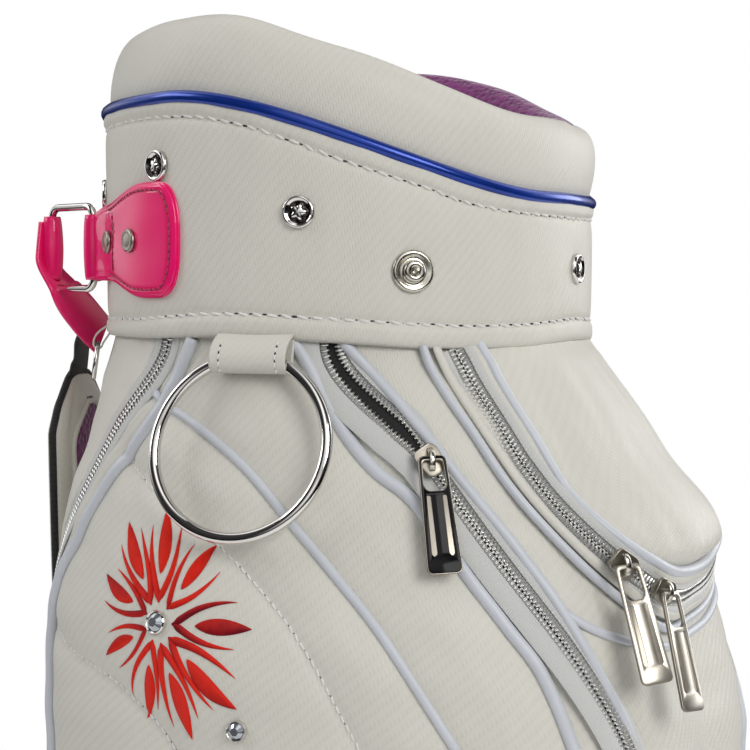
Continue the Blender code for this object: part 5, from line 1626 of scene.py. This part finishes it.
def lower_strap():
    """The lower ring, its two sleeves and the pink tab that holds it."""
    matrix = skin_frame(STRAP_ANGLE, 0.322, 0.0062)
    outline = np.array([(z, 0, x) for x, _, z in ring_outline(0.028, 0.016, 0.005)])
    strap_ring("lower", matrix, closed_resample(outline, 120), outward_of(matrix))
    across = np.array(matrix)[:3, 0]
    far, near = into(matrix, [(0, 0, 0.028), (0, 0, 0)])
    sleeve("strap_sleeve_lower", far, across, 0.010, 0.0042, "strap_ring_lower", "strap_loop_lower")
    sleeve("lower_tab_sleeve", near, across, 0.010, 0.0043, "root")
    t, w = np.linspace(0, 1, 30), np.linspace(-1, 1, 20)
    half = 0.0145 * (1 - 0.28 * np.clip(1 - t / 0.3, 0, 1) ** 2) * (1 - 0.35 * np.clip((t - 0.85) / 0.15, 0, 1) ** 2)
    lift = 0.0024 - 0.0008 * np.exp(-(((1 - np.abs(w)) / 0.08) ** 2))
    rows = np.stack([half[:, None] * w, -(lift[None] + 0 * half[:, None]) - 0.0008 + 0.0040,
                     np.repeat(-0.004 - 0.047 * t[:, None], 20, 1)], -1)
    cloth_grid("lower_pink_tab", into(matrix, rows), PINK, 0.0024, slot="patent_pink", replaces="strap_tab_lower",
               sharp=60)


def handle():
    """The padded grab handle: a sewn roll between two stitched anchors."""
    angle, low, high = 196, 0.545, 0.690
    t = np.linspace(0, 1, 70)
    z = low + (high - low) * t
    points = around(np.full(70, float(angle)), skin_radius(angle, z) + 0.0065 + 0.030 * np.sin(np.pi * t) ** 0.7, z)
    points = resample(points, 0.0022)
    share = np.linspace(0, 1, len(points))
    radius = 0.0055 + 0.0009 * np.sin(np.pi * share) ** 0.8 + 0.00012 * np.sin(share * 90)
    side, out = turning_frames(points, around(float(angle), 1.0, 0.0))
    verts, faces = sweep(points, side, out, radius[:, None, None] * round_profile(1, 24))
    build("grab_handle_roll", verts, faces, LEATHER_PLAIN, slot="leatherette", replaces="grab_handle")
    stitching("grab_handle_stitch", points + out * radius[:, None], out, pitch=0.0048, length=0.0034, radius=0.0003,
              hole=0.0)
    w = np.linspace(-1, 1, 26)
    x = 0.015 * w[None] * (1 - 0.12 * np.abs(w)[:, None] ** 4)
    z = 0.017 * w[:, None] * (1 - 0.25 * np.abs(w)[:, None] ** 6) * (1 - 0.10 * np.abs(w)[None] ** 4)
    lift = 0.0026 - 0.0014 * np.maximum(np.abs(w)[None], np.abs(w)[:, None]) ** 8
    turn = np.linspace(0, 2 * math.pi, 80)
    seam = np.stack([0.0115 * np.cos(turn), np.full(80, -0.0026), 0.0135 * np.sin(turn)], -1)
    for name, height in (("bottom", low - 0.004), ("top", high + 0.004)):
        matrix = skin_frame(angle, height, 0.0035)
        cloth_grid("handle_anchor_" + name, into(matrix, np.stack([x, -lift, z], -1)), LEATHER_PLAIN, 0.0030,
                   slot="leatherette")
        stitching("handle_anchor_stitch_" + name, into(matrix, seam), outward_of(matrix), pitch=0.0040,
                  length=0.0028, radius=0.0003, hole=0.0)


# Zip sliders and pulls


SLIDER_STAND_OFF, SLIDER_TRAVEL = 0.0036, 0.050
SLIDER_SHIELD = ((-0.0040, 0.0062), (0.0040, 0.0062), (0.0056, 0.0036), (0.0046, -0.0054), (0.0026, -0.0066),
                 (-0.0026, -0.0066), (-0.0046, -0.0054), (-0.0056, 0.0036))
SLIDER_WEDGE = ((-0.0045, 0.006), (0.0045, 0.006), (0.004, -0.006), (-0.004, -0.006))
BAIL_SECTION = ((-0.0012, -0.0003), (-0.0008, -0.0006), (0.0008, -0.0006), (0.0012, -0.0003), (0.0012, 0.0003),
                (0.0008, 0.0006), (-0.0008, 0.0006), (-0.0012, 0.0003))
PULL_WINDOW = ((-0.0040, -0.0010), (0.0040, -0.0010), (0.0045, -0.0116), (0.0030, -0.0136), (-0.0030, -0.0136),
               (-0.0045, -0.0116))
PULL_FACE_WINDOW = ((-0.0040, -0.0008), (0.0040, -0.0008), (0.0045, -0.0116), (0.0031, -0.0139),
                    (-0.0031, -0.0139), (-0.0045, -0.0116))


def rounded(points, radius, steps=5):
    """A closed outline with each corner rounded."""
    points = [np.array(p, float) for p in points]
    made = []
    for i, corner in enumerate(points):
        before, after = points[i - 1] - corner, points[(i + 1) % len(points)] - corner
        reach = min(radius, 0.48 * np.linalg.norm(before), 0.48 * np.linalg.norm(after))
        a, b = corner + unit(before) * reach, corner + unit(after) * reach
        for k in range(steps + 1):
            t = k / steps
            made.append(tuple((1 - t) ** 2 * a + 2 * t * (1 - t) * corner + t**2 * b))
    return made


def slider(name, matrix, arch_matrix):
    """A slider: a shield with a low crown, the wedge under it, and the bail that holds the pull."""
    crown, crown_faces = plate([rounded(SLIDER_SHIELD, 0.0018)], 0.0013, 0.0004, 3)
    crown = crown + (0, -0.0012, 0)
    crown[:, 1] -= 0.0006 * np.exp(-((crown[:, 0] / 0.004) ** 2)) * (crown[:, 1] < -0.0012)
    under, under_faces = plate([rounded([(x * 0.9, z * 0.9) for x, z in SLIDER_WEDGE], 0.0015)], 0.0016, 0.0004, 2)
    a = np.linspace(-0.12, 1.12, 26) * math.pi
    reach = np.stack([0 * a, -(0.0008 + 0.0035 * np.clip(np.sin(a), -0.5, 1)), -0.0044 * np.cos(a)], -1)
    side = np.tile((1.0, 0, 0), (len(a), 1))
    bail, bail_faces = sweep(reach, side, unit(np.cross(along_of(reach), side)), BAIL_SECTION)
    verts, faces = merged([(into(matrix, crown), crown_faces), (into(matrix, under + (0, 0.0009, 0)), under_faces),
                           (into(arch_matrix, bail - np.array((0, 0.0006, 0))), bail_faces)])
    mark = [0] * len(crown_faces + under_faces) + [1] * len(bail_faces)
    build("zip_" + name, verts, faces, [DULL_NICKEL, NICKEL], body=name, slot="nickel", replaces=name, sharp=40,
          material_of=mark)


def pull(name, matrix, size, black):
    """A tapered pull: window for the bail, two long grooves, a bevelled rim round its face."""
    top, bottom, rim = 0.0010, -PULL_LENGTH * size, 0.00042
    half_top, half_bottom = 0.0058, 0.0058 + 0.0056 * (size - 0.75)

    def body(inset, radius):
        return rounded([(inset - half_top, top - inset), (half_top - inset, top - inset),
                        (half_bottom - inset, bottom + inset), (inset - half_bottom, bottom + inset)], radius, 7)

    base, base_faces = plate([body(0, 0.0030), rounded(PULL_WINDOW[::-1], 0.0016)], 0.0012, 0.0003, 2)
    foot = bottom * 0.84
    groove = [(0.0024, -0.0155), (0.0040, -0.0155), (half_bottom - 0.0026, foot + 0.0005),
              (half_bottom - 0.0036, foot - 0.0006), (half_bottom - 0.0048, foot + 0.0005)]
    grooves = [rounded([(-x, z) for x, z in groove[::-1]], 0.0006, 3), rounded(groove, 0.0006, 3)]
    wide = rounded([(x * 1.09, z * 1.02 + 0.0003) for x, z in PULL_FACE_WINDOW][::-1], 0.0016)
    face, face_faces = plate([body(rim, 0.0026), wide, *grooves], 0.00034, 0.0001, 1)
    verts, faces = merged([(base, base_faces), (face + (0, -0.00072, 0), face_faces)])
    build("zip_" + name, into(matrix, verts), faces, [DULL_NICKEL, ENAMEL if black else SATIN_NICKEL], body=name,
          slot="nickel", replaces=name, sharp=35, material_of=[0] * len(base_faces) + [1] * len(face_faces))


def zip_fitting(name, origin, outward, along, down, size=1.0, black=False):
    """A slider on a zip and its pull, which hangs from it along its own way down."""
    arch_matrix = aligned(origin, outward, down)
    slider("slider_" + name, aligned(origin, outward, along), arch_matrix)
    swing = math.asin(Vector(down).normalized().dot(Vector(outward).normalized()))
    turn = Matrix.Rotation(-swing, 4, "X")
    pull("pull_" + name, arch_matrix @ Matrix.Translation((0, -HINGE_STAND_OFF, 0)) @ turn, size, black)


def over_zip(angle, height):
    """Where a slider's middle lies over the skin."""
    return around(angle, skin_radius(angle, height) + SLIDER_STAND_OFF, height)


def sliders():
    """The seven sliders and their pulls, each at its CAD place."""
    for kind, seam, top in (("front", front_seam, FRONT_SLIDER_HEIGHT), ("side", side_seam, SIDE_SLIDER_HEIGHT)):
        foot = top - SLIDER_TRAVEL
        angle = np.float64(seam(top))
        origin, outward = over_zip(angle, top), skin_normal(angle, np.float64(top))
        along = over_zip(np.float64(seam(foot)), foot) - origin
        down = np.array((0, 0, -1.0))
        if kind == "front":
            down = (around(angle, skin_radius(angle, top - 0.03), top - 0.03)
                    - around(angle, skin_radius(angle, top), top))
        for side, way in (("left", np.ones(3)), ("right", np.array((-1, 1, 1)))):
            zip_fitting(kind + "_" + side, origin * way, outward * way, along * way, down * way, 1.0, kind == "front")
    points, normals = gusset_line(33, ZIP_SHARE, ZIP_LIFT, 0.004)
    for name, station, down in TOP_SLIDERS:
        zip_fitting(name, points[station] + normals[station] * TOP_SLIDER_LIFT, normals[station],
                    points[station + 1] - points[station - 1], down)
    centre, side = ball_zip_path()[3]
    zip_fitting("ball", centre + side * 0.0034, side, (0, 0, -1), (0, 0, -1), 0.75)


# Base and inside


def embroidery():
    """The three flowers, and the cut stones in them and below them."""
    for name, angle, height, reach in FLOWERS:
        flower("flower_" + name, angle, height, reach)
    for name, angle, height, radius in STONES:
        stone("stone_" + name, angle, height, radius)


def base():
    """The moulded boot: ribbed side wall, rolled lip and a flat floor."""
    outline = [(0.0, 0.0), (0.112, 0.0), (0.1165, 0.0006), (0.1195, 0.0022), (0.1215, 0.0048)]
    for k in range(6):
        z = 0.0075 + 0.0052 * k
        outline += [(0.1226, z), (0.1226, z + 0.0030), (0.1214, z + 0.0036), (0.1214, z + 0.0048)]
    outline += [(0.1226, 0.0395), (0.1232, 0.0415), (0.1230, 0.0440), (0.1218, 0.0450), (0.1204, 0.0444),
                (0.1197, 0.0425), (0.1195, 0.0100), (0.1185, 0.0066), (0.1165, 0.0052), (0.0, 0.0052)]
    verts, faces = lathe(outline, 128)
    upright = verts[:, (0, 2, 1)] * (1, 1, -1)
    build("moulded_boot", upright, faces, RUBBER, slot="black_plastic", replaces="base_tray", sharp=40)


def inside():
    """Looks for the CAD solids that show as they are."""
    for node, look in (("body_tube", BOARD), ("stay_rod_left", RODS), ("stay_rod_right", RODS),
                       ("long_dividers", LINING)):
        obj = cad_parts[node]
        obj.data.materials.clear()
        obj.data.materials.append(look)
        obj.data.shade_smooth()
        obj.data.set_sharp_from_angle(angle=math.radians(35))


# Stage


FLOOR_RADIUS = 1.45
# The lamps: name, place, size, power and colour.
LAMPS = (("key", (-1.0, -1.9, 1.7), 1.1, 24, (1, 0.985, 0.96)), ("side", (1.7, -1.2, 1.2), 1.0, 11, (0.97, 0.985, 1)),
         ("back", (-1.0, 1.6, 1.7), 0.9, 10, (1, 1, 1)))
LAMP_AIM = (0, 0, 0.6)
# The camera looks along its heading, in degrees from +Y to +X, then turned right and tilted down in radians.
CAMERA_HEADING, CAMERA_TURN, CAMERA_TILT = 61.6, 0.01662, 0.06316
CAMERA_DISTANCE, CAMERA_HEIGHT, CAMERA_LENS, CAMERA_SENSOR = 0.727, 0.761, 72.19, 36


def colour_steps(tree, factor, steps):
    """A grey ramp through rising (position, level) steps."""
    ramp = add_node(tree, "ValToRGB", {0: factor})
    stops = ramp.color_ramp.elements
    for i, (position, level) in enumerate(steps):
        stop = stops[i] if i < len(stops) else stops.new(1.0)
        stop.position = position
        stop.color = (level, level, level * 1.01, 1)
    return ramp.outputs[0]


def studio_world():
    """White behind the bag, soft grey light round it, and bands of light and dark for metal to show."""
    world = bpy.data.worlds.new("Studio")
    bpy.context.scene.world = world
    world.use_nodes = True
    tree = world.node_tree
    tree.nodes.clear()
    x, y, z = add_node(tree, "SeparateXYZ", {0: add_node(tree, "TexCoord").outputs["Generated"]}).outputs
    height = times_add(z, 0.5, 0.5)
    wave = cosine(times_add(calc("ARCTAN2", x, y), 3.0, 3 * LIGHT_TURN))
    wave = calc("SMOOTH_MAX", times_add(wave, 0.9, 0.25), 0.04, 0.15)
    bands = shaded(tree, colour_steps(tree, height, SHINE_LIGHT), wave)
    light, gloss, white = [add_node(tree, "Background", {0: colour, 1: strength}).outputs[0] for colour, strength in
                           ((colour_steps(tree, height, SOFT_LIGHT), 0.62), (bands, 1.0), ((1, 1, 1, 1), 1.0))]
    rays = add_node(tree, "LightPath").outputs
    inner = add_node(tree, "MixShader", {0: rays["Is Glossy Ray"], 1: light, 2: gloss})
    mixed = add_node(tree, "MixShader", {0: rays["Is Camera Ray"], 1: inner.outputs[0], 2: white})
    add_node(tree, "OutputWorld", {0: mixed.outputs[0]})


def stage():
    """A pale floor, the studio's light and three soft lamps."""
    a = np.arange(96) * 2 * math.pi / 96
    mesh = bpy.data.meshes.new("floor")
    mesh.from_pydata([(FLOOR_RADIUS * math.cos(t), FLOOR_RADIUS * math.sin(t), -0.0005) for t in a], [],
                     [list(range(96))])
    floor = bpy.data.objects.new("floor", mesh)
    bpy.context.scene.collection.objects.link(floor)
    mesh.materials.append(blank("PaleFloor", (0.93, 0.93, 0.93), 0.6)[0])
    studio_world()
    for name, where, size, watts, colour in LAMPS:
        lamp = bpy.data.lights.new(name, "AREA")
        lamp.energy, lamp.size, lamp.color = watts, size, colour
        obj = bpy.data.objects.new(name, lamp)
        bpy.context.scene.collection.objects.link(obj)
        obj.location = where
        obj.rotation_euler = (Vector(LAMP_AIM) - Vector(where)).to_track_quat("-Z", "Y").to_euler()
    bpy.context.scene.view_settings.view_transform = "Standard"


def camera():
    """A long lens level with the collar, looking past its left side and a little down."""
    heading = math.radians(CAMERA_HEADING)
    towards = np.array((math.sin(heading), math.cos(heading), 0))
    right = np.array((towards[1], -towards[0], 0))
    aim = towards * math.cos(CAMERA_TURN) + right * math.sin(CAMERA_TURN)
    aim = aim * math.cos(CAMERA_TILT) - np.array((0, 0, math.sin(CAMERA_TILT)))
    lens = bpy.data.cameras.new("camera")
    lens.lens, lens.sensor_width = CAMERA_LENS, CAMERA_SENSOR
    lens.clip_start, lens.clip_end = 0.05, 20
    obj = bpy.data.objects.new("camera", lens)
    bpy.context.scene.collection.objects.link(obj)
    obj.location = -towards * CAMERA_DISTANCE + np.array((0, 0, CAMERA_HEIGHT))
    obj.rotation_mode = "QUATERNION"
    obj.rotation_quaternion = Vector(aim).to_track_quat("-Z", "Y")
    bpy.context.scene.camera = obj


for make in (camera, stage, panels, cords, quilting, skin_zips, top_pocket, ball_pocket, cuff, roll, dividers,
             fittings, towel_ring, accessory_ring, strap_tab, upper_strap, shoulder_pad, lower_strap, handle,
             sliders, base, inside, embroidery):
    make()
